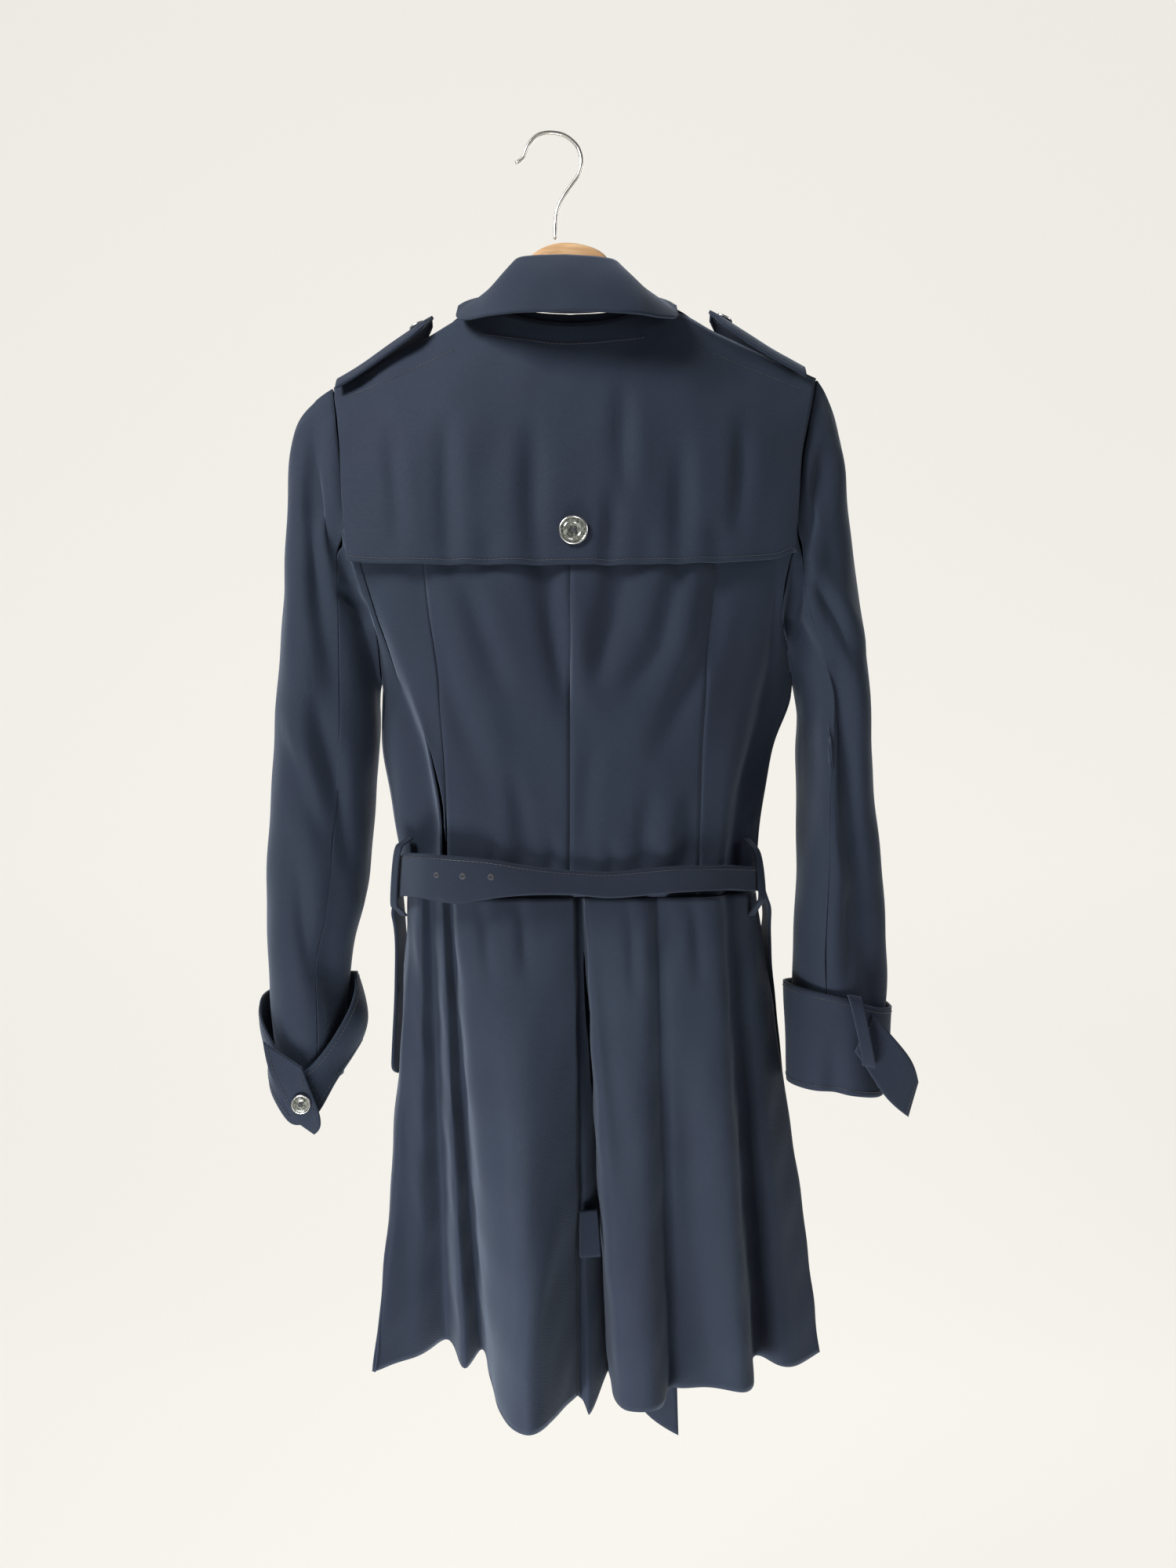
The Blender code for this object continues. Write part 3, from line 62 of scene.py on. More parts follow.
# %% sizes
MM = 0.001
CENTRE = 17           # the coat's own centre line
CLOTH = 1.5           # one layer of gabardine
DOUBLE = 2.2          # two layers stitched together
STITCH = 2.6          # length of one stitch
STITCH_STEP = 3.4     # from the start of one stitch to the next
STITCH_RADIUS = 0.26
STITCH_RISE = 0.22    # how far a stitch's middle stands off the cloth
SAME_POINT = 0.02     # corners nearer than this are one corner
FINE = 3
print("fineness of the sheets:", FINE)

# %% [markdown]
# ## From a wall to a sheet
# A wall in the frame is a closed box of loose triangles: an outer skin, an inner skin and a thin rim.
# For the looks one skin is enough, because a Solidify modifier can give the thickness back later. So
# the triangles are merged, the faces of the rim are found by their short edges and taken away, and of
# the two skins left the one that faces away from the garment's middle is kept.

# %% take the outer skin of a wall
RIM = 3.1 * MM    # an edge shorter than this crosses the wall's thickness


def merged_copy(name):
    bm = bmesh.new()
    bm.from_mesh(nodes[name].data)
    bmesh.ops.remove_doubles(bm, verts=bm.verts, dist=SAME_POINT * MM)
    return bm


def skins(bm):
    """The separate pieces of surface in a mesh, as lists of faces."""
    left = set(bm.faces)
    found = []
    while left:
        edge_of = [left.pop()]
        group = []
        while edge_of:
            face = edge_of.pop()
            group.append(face)
            for edge in face.edges:
                for other in edge.link_faces:
                    if other in left:
                        left.remove(other)
                        edge_of.append(other)
        found.append(group)
    return found


def outer_skin(name, inward_point):
    bm = merged_copy(name)
    rim = [f for f in bm.faces if any(e.calc_length() < RIM for e in f.edges)]
    bmesh.ops.delete(bm, geom=rim, context="FACES_ONLY")
    loose = [e for e in bm.edges if not e.link_faces]
    bmesh.ops.delete(bm, geom=loose, context="EDGES")
    groups = sorted(skins(bm), key=len, reverse=True)[:2]

    def facing_out(group):
        total = 0
        for face in group:
            middle = face.calc_center_median()
            total += face.calc_area() * face.normal.dot(middle - inward_point(middle))
        return total

    keep = set(max(groups, key=facing_out))
    bmesh.ops.delete(bm, geom=[f for f in bm.faces if f not in keep], context="FACES")
    bmesh.ops.join_triangles(bm, faces=bm.faces, angle_face_threshold=3.1, angle_shape_threshold=3.1,
                             cmp_seam=False, cmp_sharp=False, cmp_uvs=False, cmp_vcols=False,
                             cmp_materials=False)
    return bm


def middle_of_body(point):
    return Vector((CENTRE * MM, 0.01, point.z))


# %% [markdown]
# ## Smoothing without shrinking
# A Subdivision Surface rounds the coarse skin off beautifully, but it also pulls the surface inside its
# control points, and a pleat would lose a third of its depth. The cure is an old modeller's trick: look
# how far each point was pulled in, push it out by as much, and subdivide again.

# %% a smooth sheet that still passes through the wall's own points
def subdivided(mesh, levels):
    thing = bpy.data.objects.new("working_sheet", mesh)
    bpy.context.scene.collection.objects.link(thing)
    smooth = thing.modifiers.new("smooth", "SUBSURF")
    smooth.levels = smooth.render_levels = levels
    smooth.boundary_smooth = "PRESERVE_CORNERS"
    seen = thing.evaluated_get(bpy.context.evaluated_depsgraph_get())
    fine = bpy.data.meshes.new_from_object(seen)
    bpy.data.objects.remove(thing)
    return fine


def points_of(mesh):
    points = np.empty(len(mesh.vertices) * 3)
    mesh.vertices.foreach_get("co", points)
    return points.reshape(-1, 3)


def normals_of(mesh):
    ways = np.empty(len(mesh.vertices) * 3)
    mesh.vertices.foreach_get("normal", ways)
    return ways.reshape(-1, 3)


def move_points(mesh, points):
    mesh.vertices.foreach_set("co", points.reshape(-1))
    mesh.update()


def smooth_sheet(bm, name, levels=FINE):
    mesh = bpy.data.meshes.new(name)
    bm.to_mesh(mesh)
    bm.free()
    wanted = points_of(mesh)
    guide = wanted.copy()
    for _ in range(2):
        pulled = points_of(subdivided(mesh, 2))[:len(wanted)]
        guide = guide + 0.8 * (wanted - pulled)
        move_points(mesh, guide)
    fine = subdivided(mesh, levels)
    fine.name = name
    return fine

# %% [markdown]
# ## Creases
# Cloth bends in soft troughs with a fuller roll of cloth beside each one. A crease is chalked with a
# start, a middle and an end, a half width, and how deep its trough is; a negative depth makes a ridge.
# `full_side` says on which side the cloth swells: 1 is to the left going down the crease, -1 to the
# right. A long crease fades at both ends, and it only works on cloth that faces the same way.

# %% press creases into a sheet
BACKWARD, FORWARD = -1, 1


def chalked(points):
    """Each point as across-from-centre and drop, in millimetres."""
    return np.stack([points[:, 0] / MM - CENTRE, -points[:, 2] / MM], axis=-1)


def crease_height(flat, crease):
    _, across_1, drop_1, across_2, drop_2, across_3, drop_3, half_width, depth, full_side = crease
    start, middle, end = (np.array(p, float) for p in
                          ((across_1, drop_1), (across_2, drop_2), (across_3, drop_3)))
    best = np.full(len(flat), 1e9)
    signed = np.zeros(len(flat))
    share = np.zeros(len(flat))
    for begin, finish, offset in ((start, middle, 0.0), (middle, end, 0.5)):
        run = finish - begin
        t = np.clip(((flat - begin) @ run) / (run @ run), 0, 1)
        gap = flat - (begin + t[:, None] * run)
        away = np.linalg.norm(gap, axis=1)
        nearer = away < best
        side = np.sign(run[0] * gap[:, 1] - run[1] * gap[:, 0])
        best = np.where(nearer, away, best)
        signed = np.where(nearer, -side * away, signed)
        share = np.where(nearer, offset + 0.5 * t, share)
    fade = np.sin(np.pi * np.clip(share, 0.02, 0.98)) ** 0.7
    trough = np.exp(-((best / half_width) ** 2))
    roll = 0.45 * np.exp(-(((signed - full_side * 1.9 * half_width) / (1.3 * half_width)) ** 2))
    return depth * fade * (roll * (full_side != 0) - trough)


def press(mesh, creases, facing):
    points, ways = points_of(mesh), normals_of(mesh)
    flat = chalked(points)
    height = np.zeros(len(points))
    for crease in creases[1:]:
        height += crease_height(flat, crease)
    height *= np.clip((facing * ways[:, 1] + 0.15) / 0.5, 0, 1)
    move_points(mesh, points + MM * height[:, None] * ways)


RIPPLES = (    # gentle unevenness of hung cloth: waves per metre along each axis, shift, height in mm
    ("across", "deep", "down", "shift", "height"),
    (9.0, 5.0, 3.5, 0.4, 0.55),
    (17.0, -8.0, 6.0, 2.1, 0.35),
    (-23.0, 14.0, 11.0, 4.0, 0.22),
    (5.0, 12.0, -16.0, 1.2, 0.30),
    (31.0, 19.0, -9.0, 5.3, 0.14),
)


def unevenness(mesh, strength=1.0):
    points, ways = points_of(mesh), normals_of(mesh)
    height = np.zeros(len(points))
    for across, deep, down, shift, tall in RIPPLES[1:]:
        height += tall * np.sin(2 * math.pi * (points @ np.array((across, deep, down))) + shift)
    move_points(mesh, points + (strength * MM) * height[:, None] * ways)


# %% [markdown]
# ## Edges of a sheet
# Stitching and seams follow the edges, so each sheet's border is walked once and split at its corners
# into sides, which are then told apart by where they lie.

# %% find the sides of a sheet
def border_sides(mesh):
    bm = bmesh.new()
    bm.from_mesh(mesh)
    bm.verts.ensure_lookup_table()
    border = [e for e in bm.edges if len(e.link_faces) == 1]
    after = {}
    for edge in border:
        for vert in edge.verts:
            after.setdefault(vert.index, []).append(edge.other_vert(vert).index)
    corners = {v.index for v in bm.verts if len(v.link_edges) == 2}
    unseen = set(after)
    loops = []
    while unseen:
        first = next((v for v in sorted(unseen) if v in corners), min(unseen))
        loop, here = [first], first
        unseen.discard(first)
        while True:
            ahead = [v for v in after[here] if v in unseen]
            if not ahead:
                break
            here = ahead[0]
            unseen.discard(here)
            loop.append(here)
        loop.append(first)
        loops.append(loop)
    bm.free()
    sides = []
    for loop in loops:
        side = [loop[0]]
        for index in loop[1:]:
            side.append(index)
            if index in corners:
                sides.append(side)
                side = [index]
        if len(side) > 1:
            sides.append(side)
    return sides


def side_at(mesh, where):
    """The side whose middle lies furthest in the direction `where`."""
    points = points_of(mesh)
    return max(border_sides(mesh), key=lambda side: float(points[side].mean(axis=0) @ np.array(where)))


# %% [markdown]
# ## Topstitching
# A row of topstitching runs a few millimetres in from an edge. The row's path is the edge moved inward
# over the sheet. Each stitch is a slim six-sided bar, a little raised and as long as the machine makes
# it, so a whole row is one light mesh of its own.

# %% lay stitches along an edge
def inset_path(mesh, side, inward):
    """Points a given distance in from a side of the sheet, with the sheet's normal at each."""
    points, ways = points_of(mesh), normals_of(mesh)
    tree = BVHTree.FromPolygons([Vector(p) for p in points], [tuple(f.vertices) for f in mesh.polygons])
    edge = points[side]
    path = []
    for number, (index, point) in enumerate(zip(side, edge)):
        along = Vector(edge[min(number + 1, len(edge) - 1)] - edge[max(number - 1, 0)]).normalized()
        way = Vector(ways[index])
        inner = way.cross(along).normalized()
        if tree.find_nearest(Vector(point) + inner * inward)[3] > tree.find_nearest(
                Vector(point) - inner * inward)[3] + 1e-7:
            inner = -inner
        spot, normal, _, _ = tree.find_nearest(Vector(point) + inner * inward)
        path.append((spot, normal if normal.dot(way) > 0 else -normal))
    return path


def evenly_spaced(path, step):
    spots = [p for p, _ in path]
    lengths = np.concatenate([[0], np.cumsum([(b - a).length for a, b in zip(spots, spots[1:])])])
    if lengths[-1] < 3 * step:
        return []
    places = np.arange(step, lengths[-1] - step / 2, step)
    found = []
    for place in places:
        i = int(np.searchsorted(lengths, place)) - 1
        t = (place - lengths[i]) / max(lengths[i + 1] - lengths[i], 1e-9)
        found.append((spots[i].lerp(spots[i + 1], t), (spots[i + 1] - spots[i]).normalized(), path[i][1]))
    return found


def chalk_line(mesh, marks, facing):
    """A smooth line through a few chalk marks (across, drop), laid on the sheet from behind or in front."""
    points = points_of(mesh)
    tree = BVHTree.FromPolygons([Vector(p) for p in points], [tuple(f.vertices) for f in mesh.polygons])
    marks = np.array(marks, float)
    steps = np.linspace(0, 1, 60)
    shares = np.linspace(0, 1, len(marks))
    bend = np.polyfit(shares, marks, min(3, len(marks) - 1))
    path = []
    for t in steps:
        across, drop = sum(part * t ** power for power, part in enumerate(bend[::-1]))
        start = Vector(((across + CENTRE) * MM, facing * 0.5, -drop * MM))
        spot, normal, _, _ = tree.ray_cast(start, Vector((0, -facing, 0)))
        if spot is not None:
            path.append((spot, normal if normal.y * facing > 0 else -normal))
    return path


def stitch_row(bm, path):
    for spot, along, way in evenly_spaced(path, STITCH_STEP * MM):
        side = way.cross(along).normalized()
        turn = Matrix((side, way, along)).transposed().to_4x4()
        place = Matrix.Translation(spot + way * STITCH_RISE * MM) @ turn
        bmesh.ops.create_cone(bm, cap_ends=True, segments=6, radius1=STITCH_RADIUS * MM,
                              radius2=STITCH_RADIUS * MM, depth=STITCH * MM, matrix=place)


# %% [markdown]
# ## The cloth
# The coat is cotton gabardine: a tight, fine twill, deep navy and nearly matt. Up close there are
# slanting ribs about half a millimetre apart; from further off only a soft sheen where the cloth turns
# away, and a slight cloudiness in the dye. The ribs are a Wave texture turned with a Mapping node, used
# for bump and a trace of colour. The sheen is the shader's own, because that is what fuzz does to light.

# %% navy gabardine
def new_finish(name):
    made = bpy.data.materials.new(name)
    made.use_nodes = True
    tree = made.node_tree
    return made, tree.nodes, tree.links, tree.nodes["Principled BSDF"]


def gabardine(name, deep, pale, sheen=0.15):
    made, parts, joins, shader = new_finish(name)
    where = parts.new("ShaderNodeTexCoord")
    clouds = parts.new("ShaderNodeTexNoise")
    clouds.inputs["Scale"].default_value = 9
    clouds.inputs["Detail"].default_value = 5
    joins.new(where.outputs["Object"], clouds.inputs["Vector"])
    turned = parts.new("ShaderNodeMapping")
    turned.inputs["Rotation"].default_value = (math.radians(20), math.radians(63), math.radians(15))
    joins.new(where.outputs["Object"], turned.inputs["Vector"])
    ribs = parts.new("ShaderNodeTexWave")
    ribs.inputs["Scale"].default_value = 330
    ribs.inputs["Distortion"].default_value = 0.6
    ribs.inputs["Detail"].default_value = 1
    joins.new(turned.outputs["Vector"], ribs.inputs["Vector"])
    slubs = parts.new("ShaderNodeTexNoise")
    slubs.inputs["Scale"].default_value = 420
    slubs.inputs["Detail"].default_value = 2
    joins.new(where.outputs["Object"], slubs.inputs["Vector"])

    dye = parts.new("ShaderNodeMix")
    dye.data_type = "RGBA"
    dye.inputs["A"].default_value = (*deep, 1)
    dye.inputs["B"].default_value = (*pale, 1)
    joins.new(clouds.outputs["Fac"], dye.inputs["Factor"])
    thread = parts.new("ShaderNodeMix")
    thread.data_type = "RGBA"
    thread.blend_type = "MULTIPLY"
    thread.inputs["Factor"].default_value = 0.22
    joins.new(dye.outputs["Result"], thread.inputs["A"])
    joins.new(ribs.outputs["Color"], thread.inputs["B"])
    joins.new(thread.outputs["Result"], shader.inputs["Base Color"])

    rough = parts.new("ShaderNodeMapRange")
    rough.inputs["To Min"].default_value = 0.74
    rough.inputs["To Max"].default_value = 0.92
    joins.new(slubs.outputs["Fac"], rough.inputs["Value"])
    joins.new(rough.outputs["Result"], shader.inputs["Roughness"])
    heights = parts.new("ShaderNodeMath")
    heights.operation = "MULTIPLY_ADD"
    heights.inputs[1].default_value = 0.5
    joins.new(slubs.outputs["Fac"], heights.inputs[0])
    joins.new(ribs.outputs["Fac"], heights.inputs[2])
    bump = parts.new("ShaderNodeBump")
    bump.inputs["Strength"].default_value = 0.35
    bump.inputs["Distance"].default_value = 0.0003
    joins.new(heights.outputs["Value"], bump.inputs["Height"])
    joins.new(bump.outputs["Normal"], shader.inputs["Normal"])
    shader.inputs["Specular IOR Level"].default_value = 0.22
    shader.inputs["Sheen Weight"].default_value = sheen
    shader.inputs["Sheen Roughness"].default_value = 0.45
    shader.inputs["Sheen Tint"].default_value = (0.62, 0.74, 0.95, 1)
    return made


navy = gabardine("navy_gabardine", (0.0125, 0.0160, 0.0335), (0.0160, 0.0265, 0.0430))
navy_doubled = gabardine("navy_gabardine_doubled", (0.0105, 0.0145, 0.0290), (0.0140, 0.0215, 0.0365))
thread, _, _, thread_shader = new_finish("navy_thread")
thread_shader.inputs["Base Color"].default_value = (0.012, 0.014, 0.024, 1)
thread_shader.inputs["Roughness"].default_value = 0.55
thread_shader.inputs["Sheen Weight"].default_value = 0.3
print("cloth finishes:", navy.name, navy_doubled.name)

# %% [markdown]
# ## Dressing one piece
# With the helpers ready, one function dresses any piece of cloth: skin, smooth, crease, thickness. Its
# thickness grows inward, away from what shows, exactly as far as the wall's. The stitch rows are joined
# into one object beside it.

# %% dress a piece of cloth
cloth_pieces = {}


def dress(name, creases=(), facing=0, thickness=CLOTH, inward_point=middle_of_body, uneven=1.0,
          finish=None, seam_sides=(), levels=FINE):
    mesh = smooth_sheet(outer_skin(name, inward_point), name + "_cloth", levels)
    for table, way in creases:
        press(mesh, table, way)
    if uneven:
        unevenness(mesh, uneven)
    if seam_sides:
        sink_seams(mesh, seam_sides)
    mesh.shade_smooth()
    mesh.materials.clear()
    mesh.materials.append(finish or navy)
    piece = bpy.data.objects.new(name + "_cloth", mesh)
    bpy.context.scene.collection.objects.link(piece)
    wall = piece.modifiers.new("thickness", "SOLIDIFY")
    wall.thickness = thickness * MM
    wall.offset = -1
    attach(piece, "root")
    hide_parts(name)
    cloth_pieces[name] = piece
    return mesh


SEAM_REACH = 0.22 * MM    # how far a sewn edge is pushed out, to meet the edge of the next piece


def sink_seams(mesh, where):
    """Sewn edges are pulled down a little and out to the next piece, so that the cloth rolls into the
    seam and no light comes through it."""
    points, ways = points_of(mesh), normals_of(mesh)
    for direction in where:
        side = side_at(mesh, direction)
        along = points[side[2:]] - points[side[:-2]]
        along = np.vstack((along[:1], along, along[-1:]))
        out = np.cross(along, ways[side])
        out /= np.linalg.norm(out, axis=1)[:, None] + 1e-12
        out *= 1 if (out @ np.array(direction)).sum() > 0 else -1
        points[side] += SEAM_REACH * out - 0.6 * MM * ways[side]
    move_points(mesh, points)


def sew(name, rows=(), lines=(), facing=BACKWARD):
    """Topstitching for one piece: each row is a direction to its side and a distance in from it, and
    each line is a few chalk marks."""
    mesh = cloth_pieces[name].data
    bm = bmesh.new()
    for direction, inward in rows:
        stitch_row(bm, inset_path(mesh, side_at(mesh, direction), inward * MM))
    for marks in lines:
        stitch_row(bm, chalk_line(mesh, marks, facing))
    made = bpy.data.meshes.new(name + "_stitches")
    bm.to_mesh(made)
    bm.free()
    made.materials.append(thread)
    row = bpy.data.objects.new(name + "_stitches", made)
    bpy.context.scene.collection.objects.link(row)
    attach(row, "root")
    print(name, "stitches:", len(made.polygons) // 8)


LEFT, RIGHT, UP, DOWN = (-1, 0, 0), (1, 0, 0), (0, 0, 1), (0, 0, -1)
BACK, FRONT = (0, -1, 0), (0, 1, 0)

# %% [markdown]
# ## The back and the storm cape
# The back hangs from the shoulders, and its cloth breaks into long soft folds that start under the
# cape's edge and run down to the belt, slanting to the middle. The cape lies loose over the bodice, so
# it has folds of its own, short and nearly upright. The same creases are pressed into the cape and the
# panels under it, which keeps the one from cutting through the other.

# %% creases of the back and of the cape
CAPE_CREASES = (
    ("crease", "across_1", "drop_1", "across_2", "drop_2", "across_3", "drop_3",
     "half_width", "depth", "full_side"),
    ("left_yoke", -95, 232, -93, 300, -90, 365, 7, 5.1, 1),
    ("left_of_middle", -28, 235, -28, 300, -24, 370, 8, 4.8, -1),
    ("right_high", 40, 205, 39, 255, 41, 300, 7, 4.2, 1),
    ("by_button", 33, 290, 31, 325, 27, 372, 6, 3.8, -1),
    ("right_yoke", 85, 250, 83, 300, 80, 365, 8, 4.8, 1),
    ("right_arm", 131, 235, 130, 280, 125, 330, 7, 3.5, -1),
    ("left_arm", -138, 240, -134, 285, -128, 340, 7, 3.2, 1),
    ("hem_dimple_left", -60, 322, -61, 340, -60, 356, 8, 2.6, 0),
    ("hem_dimple_right", 57, 318, 58, 338, 57, 354, 9, 2.6, 0),
    ("hem_dimple_far", 108, 316, 109, 332, 108, 350, 9, 2.4, 0),
)
BACK_CREASES = (
    CAPE_CREASES[0],
    ("strong_left", -20, 335, -12, 408, 2, 470, 9, 8.0, 1),
    ("right_inner", 42, 340, 28, 397, 14, 448, 9, 6.7, -1),
    ("right_middle", 86, 338, 68, 408, 36, 455, 9, 6.1, -1),
    ("right_long", 114, 335, 101, 415, 58, 505, 10, 6.7, -1),
    ("left_long", -117, 340, -97, 430, -50, 545, 10, 4.6, 1),
    ("left_short", -84, 350, -66, 402, -46, 452, 8, 4.2, 1),
    ("middle_low", 18, 480, 12, 520, 10, 566, 8, 3.5, 0),
    ("low_left", -44, 500, -36, 540, -34, 585, 7, 3.8, -1),
    ("low_right", 62, 515, 55, 550, 54, 588, 7, 3.8, 1),
    ("low_far_right", 92, 520, 86, 555, 84, 590, 6, 3.5, -1),
    ("low_far_left", -92, 530, -90, 560, -88, 590, 6, 1.8, 1),
    ("belt_pucker_1", -14, 552, -13, 572, -14, 592, 4, 2.9, 1),
    ("belt_pucker_2", 30, 556, 31, 575, 30, 592, 4, 2.6, -1),
    ("belt_pucker_3", -58, 556, -57, 575, -58, 592, 4, 2.6, 1),
)
both_back = ((CAPE_CREASES, BACKWARD), (BACK_CREASES, BACKWARD))
for name in ("back_centre_left", "back_centre_right", "back_side_left", "back_side_right"):
    inner_edge = {"back_centre_left": (RIGHT, LEFT), "back_centre_right": (LEFT, RIGHT),
                  "back_side_left": (RIGHT,), "back_side_right": (LEFT,)}[name]
    dress(name, both_back, seam_sides=inner_edge)
dress("storm_cape", both_back[:1])
sew("storm_cape", ((DOWN, 3.6),), lines=(
    ((-68, 166), (-28, 174.8), (7.5, 177), (60, 169)),
    ((-176, 212), (-129, 194), (-88, 177)),
    ((181, 206), (132, 188), (92, 173)),
))
print("back pieces:", [name for name in cloth_pieces])

# %% [markdown]
# ## The fronts, the collar and the lapels
# The fronts are smoother: they hang straight from the shoulders over the hanger. The collar's fall is
# cut on the cross, so it rolls over its stand without a crease.

# %% fronts and collar
FRONT_CREASES = (
    CAPE_CREASES[0],
    ("right_bust", 120, 300, 84, 380, 58, 470, 11, 5.1, 1),
    ("right_drag", 150, 360, 120, 430, 96, 500, 10, 5.8, -1),
    ("left_bust", -118, 300, -96, 380, -84, 470, 11, 4.8, -1),
    ("left_drag", -136, 360, -118, 430, -104, 505, 10, 5.4, 1),
    ("middle_soft", 6, 400, 0, 470, 2, 560, 12, 3.5, 1),
    ("waist_right", 72, 520, 66, 556, 64, 592, 6, 3.5, -1),
    ("waist_left", -30, 515, -34, 552, -34, 592, 6, 3.2, 1),
)
for name in ("front_left", "front_right"):
    dress(name, ((FRONT_CREASES, FORWARD),))
for name in ("lapel_left", "lapel_right"):
    dress(name, uneven=0.4)
dress("collar_fall", thickness=DOUBLE, uneven=0.8)
dress("collar_stand", uneven=0.3)
sew("collar_fall", ((DOWN, 5.0),))
sew("front_right", ((LEFT, 6.0),))
sew("lapel_right", ((RIGHT, 6.0),))

# %% [markdown]
# ## The sleeves
# A sleeve that hangs by itself folds in three places: under the shoulder, at the elbow and where the
# cuff's weight ends. Its creases run round it on a slant, so they are pressed only on the side they are
# chalked on.

# %% creases of the sleeves
SLEEVE_BACK_CREASES = (
    CAPE_CREASES[0],
    ("left_head", -201, 225, -192, 304, -166, 360, 8, 8.0, 1),
    ("left_ridge", -208, 250, -204, 356, -196, 430, 7, -4.2, 0),
    ("left_elbow", -197, 440, -184, 500, -168, 590, 10, 9.6, -1),
    ("left_low", -214, 560, -206, 620, -196, 672, 9, 6.4, 1),
    ("left_underarm", -178, 362, -162, 378, -142, 392, 6, 4.8, 0),
    ("left_wrap", -222, 470, -206, 520, -190, 560, 8, 4.8, 1),
    ("right_head", 199, 245, 188, 296, 179, 345, 8, 7.2, 1),
    ("right_tuck", 176, 352, 170, 388, 190, 424, 6, 6.4, -1),
    ("right_under", 182, 352, 202, 388, 220, 424, 6, 5.8, 1),
    ("right_elbow", 200, 418, 208, 480, 217, 600, 10, 10.4, 1),
    ("right_low", 216, 590, 217, 630, 214, 676, 8, 5.4, -1),
    ("right_outer", 228, 440, 232, 520, 234, 600, 9, 3.8, -1),
)
SLEEVE_FRONT_CREASES = (
    CAPE_CREASES[0],
    ("left_front_elbow", -178, 430, -192, 500, -208, 580, 10, 8.0, 1),
    ("left_front_high", -172, 300, -186, 360, -204, 420, 9, 5.8, -1),
    ("right_front_elbow", 196, 430, 210, 505, 226, 590, 10, 8.0, -1),
    ("right_front_high", 180, 290, 196, 350, 212, 410, 9, 5.8, 1),
)
SLEEVE_MIDDLE = (    # the middle of each sleeve by drop, to tell its outside from its inside
    ("drop", "left", "right"), (200, -187, 186), (400, -190, 200), (600, -201, 212), (780, -208, 213),
)


def middle_of_sleeve(point):
    rows = np.array(SLEEVE_MIDDLE[1:], float)
    place = rows[:, 1] if point.x < CENTRE * MM else rows[:, 2]
    return Vector(((np.interp(-point.z / MM, rows[:, 0], place) + CENTRE) * MM, 0.006, point.z))


for name in ("sleeve_left_upper", "sleeve_left_under", "sleeve_right_upper", "sleeve_right_under"):
    dress(name, ((SLEEVE_BACK_CREASES, BACKWARD), (SLEEVE_FRONT_CREASES, FORWARD)),
          inward_point=middle_of_sleeve)
for name in ("cuff_left", "cuff_right"):
    dress(name, inward_point=middle_of_sleeve, uneven=0.8)
for name in ("cuff_strap_left", "cuff_strap_right"):
    dress(name, inward_point=middle_of_sleeve, thickness=DOUBLE, uneven=0.3)
dress("cuff_carrier_right", inward_point=middle_of_sleeve, uneven=0)
for name in ("cuff_left", "cuff_right"):
    sew(name, ((UP, 4.0), (DOWN, 4.0)))
sew("cuff_strap_left", ((LEFT, 3.0), (RIGHT, 3.0)))
sew("cuff_strap_right", ((LEFT, 3.0), (RIGHT, 3.0)))

# %% [markdown]
# ## The skirt
# Below the waist seam the coat flares into deep unpressed pleats. They are part of the walls already,
# and smoothing has rounded their lips. What is left is the softer break of the cloth between them.

# %% creases of the skirt
SKIRT_CREASES = (
    CAPE_CREASES[0],
    ("soft_band", 18, 625, 28, 720, 40, 810, 10, 4.2, -1),
    ("lobe_ridge", -2, 810, -28, 905, -42, 960, 10, -4.2, 0),
    ("lobe_left", -58, 700, -52, 820, -40, 940, 10, 3.2, 1),
    ("gather_1", -66, 600, -63, 630, -60, 668, 5, 3.2, 1),
    ("gather_2", -36, 600, -35, 624, -33, 656, 5, 2.9, -1),
    ("gather_3", 44, 600, 46, 630, 48, 672, 5, 3.2, 1),
    ("gather_4", 92, 600, 95, 628, 97, 664, 5, 2.9, -1),
    ("right_panel", 84, 700, 90, 800, 96, 900, 10, 2.9, 1),
)
for name in ("skirt_back_left", "skirt_back_right"):
    dress(name, ((SKIRT_CREASES, BACKWARD),), uneven=1.2)
for name in ("skirt_front_left", "skirt_front_right", "pleat_underlay"):
    dress(name, uneven=1.2)
dress("pleat_tab", uneven=0)

# %% [markdown]
# ## Belt, loops and epaulettes
# These are two layers of the same cloth, stitched together near both edges, so they look a shade darker
# and firmer than the coat.

# %% belt and straps
dress("belt", thickness=DOUBLE, uneven=0.5, finish=navy_doubled)
for name in ("belt_loop_left", "belt_loop_right"):
    dress(name, uneven=0, finish=navy_doubled)
for name in ("epaulette_left", "epaulette_right"):
    dress(name, thickness=DOUBLE, uneven=0.4, inward_point=lambda p: Vector((p.x, p.y, p.z - 0.1)))
sew("belt", ((UP, 3.0), (DOWN, 3.0)))
sew("epaulette_left", ((BACK, 4.0), (FRONT, 4.0)))
sew("epaulette_right", ((BACK, 4.0), (FRONT, 4.0)))
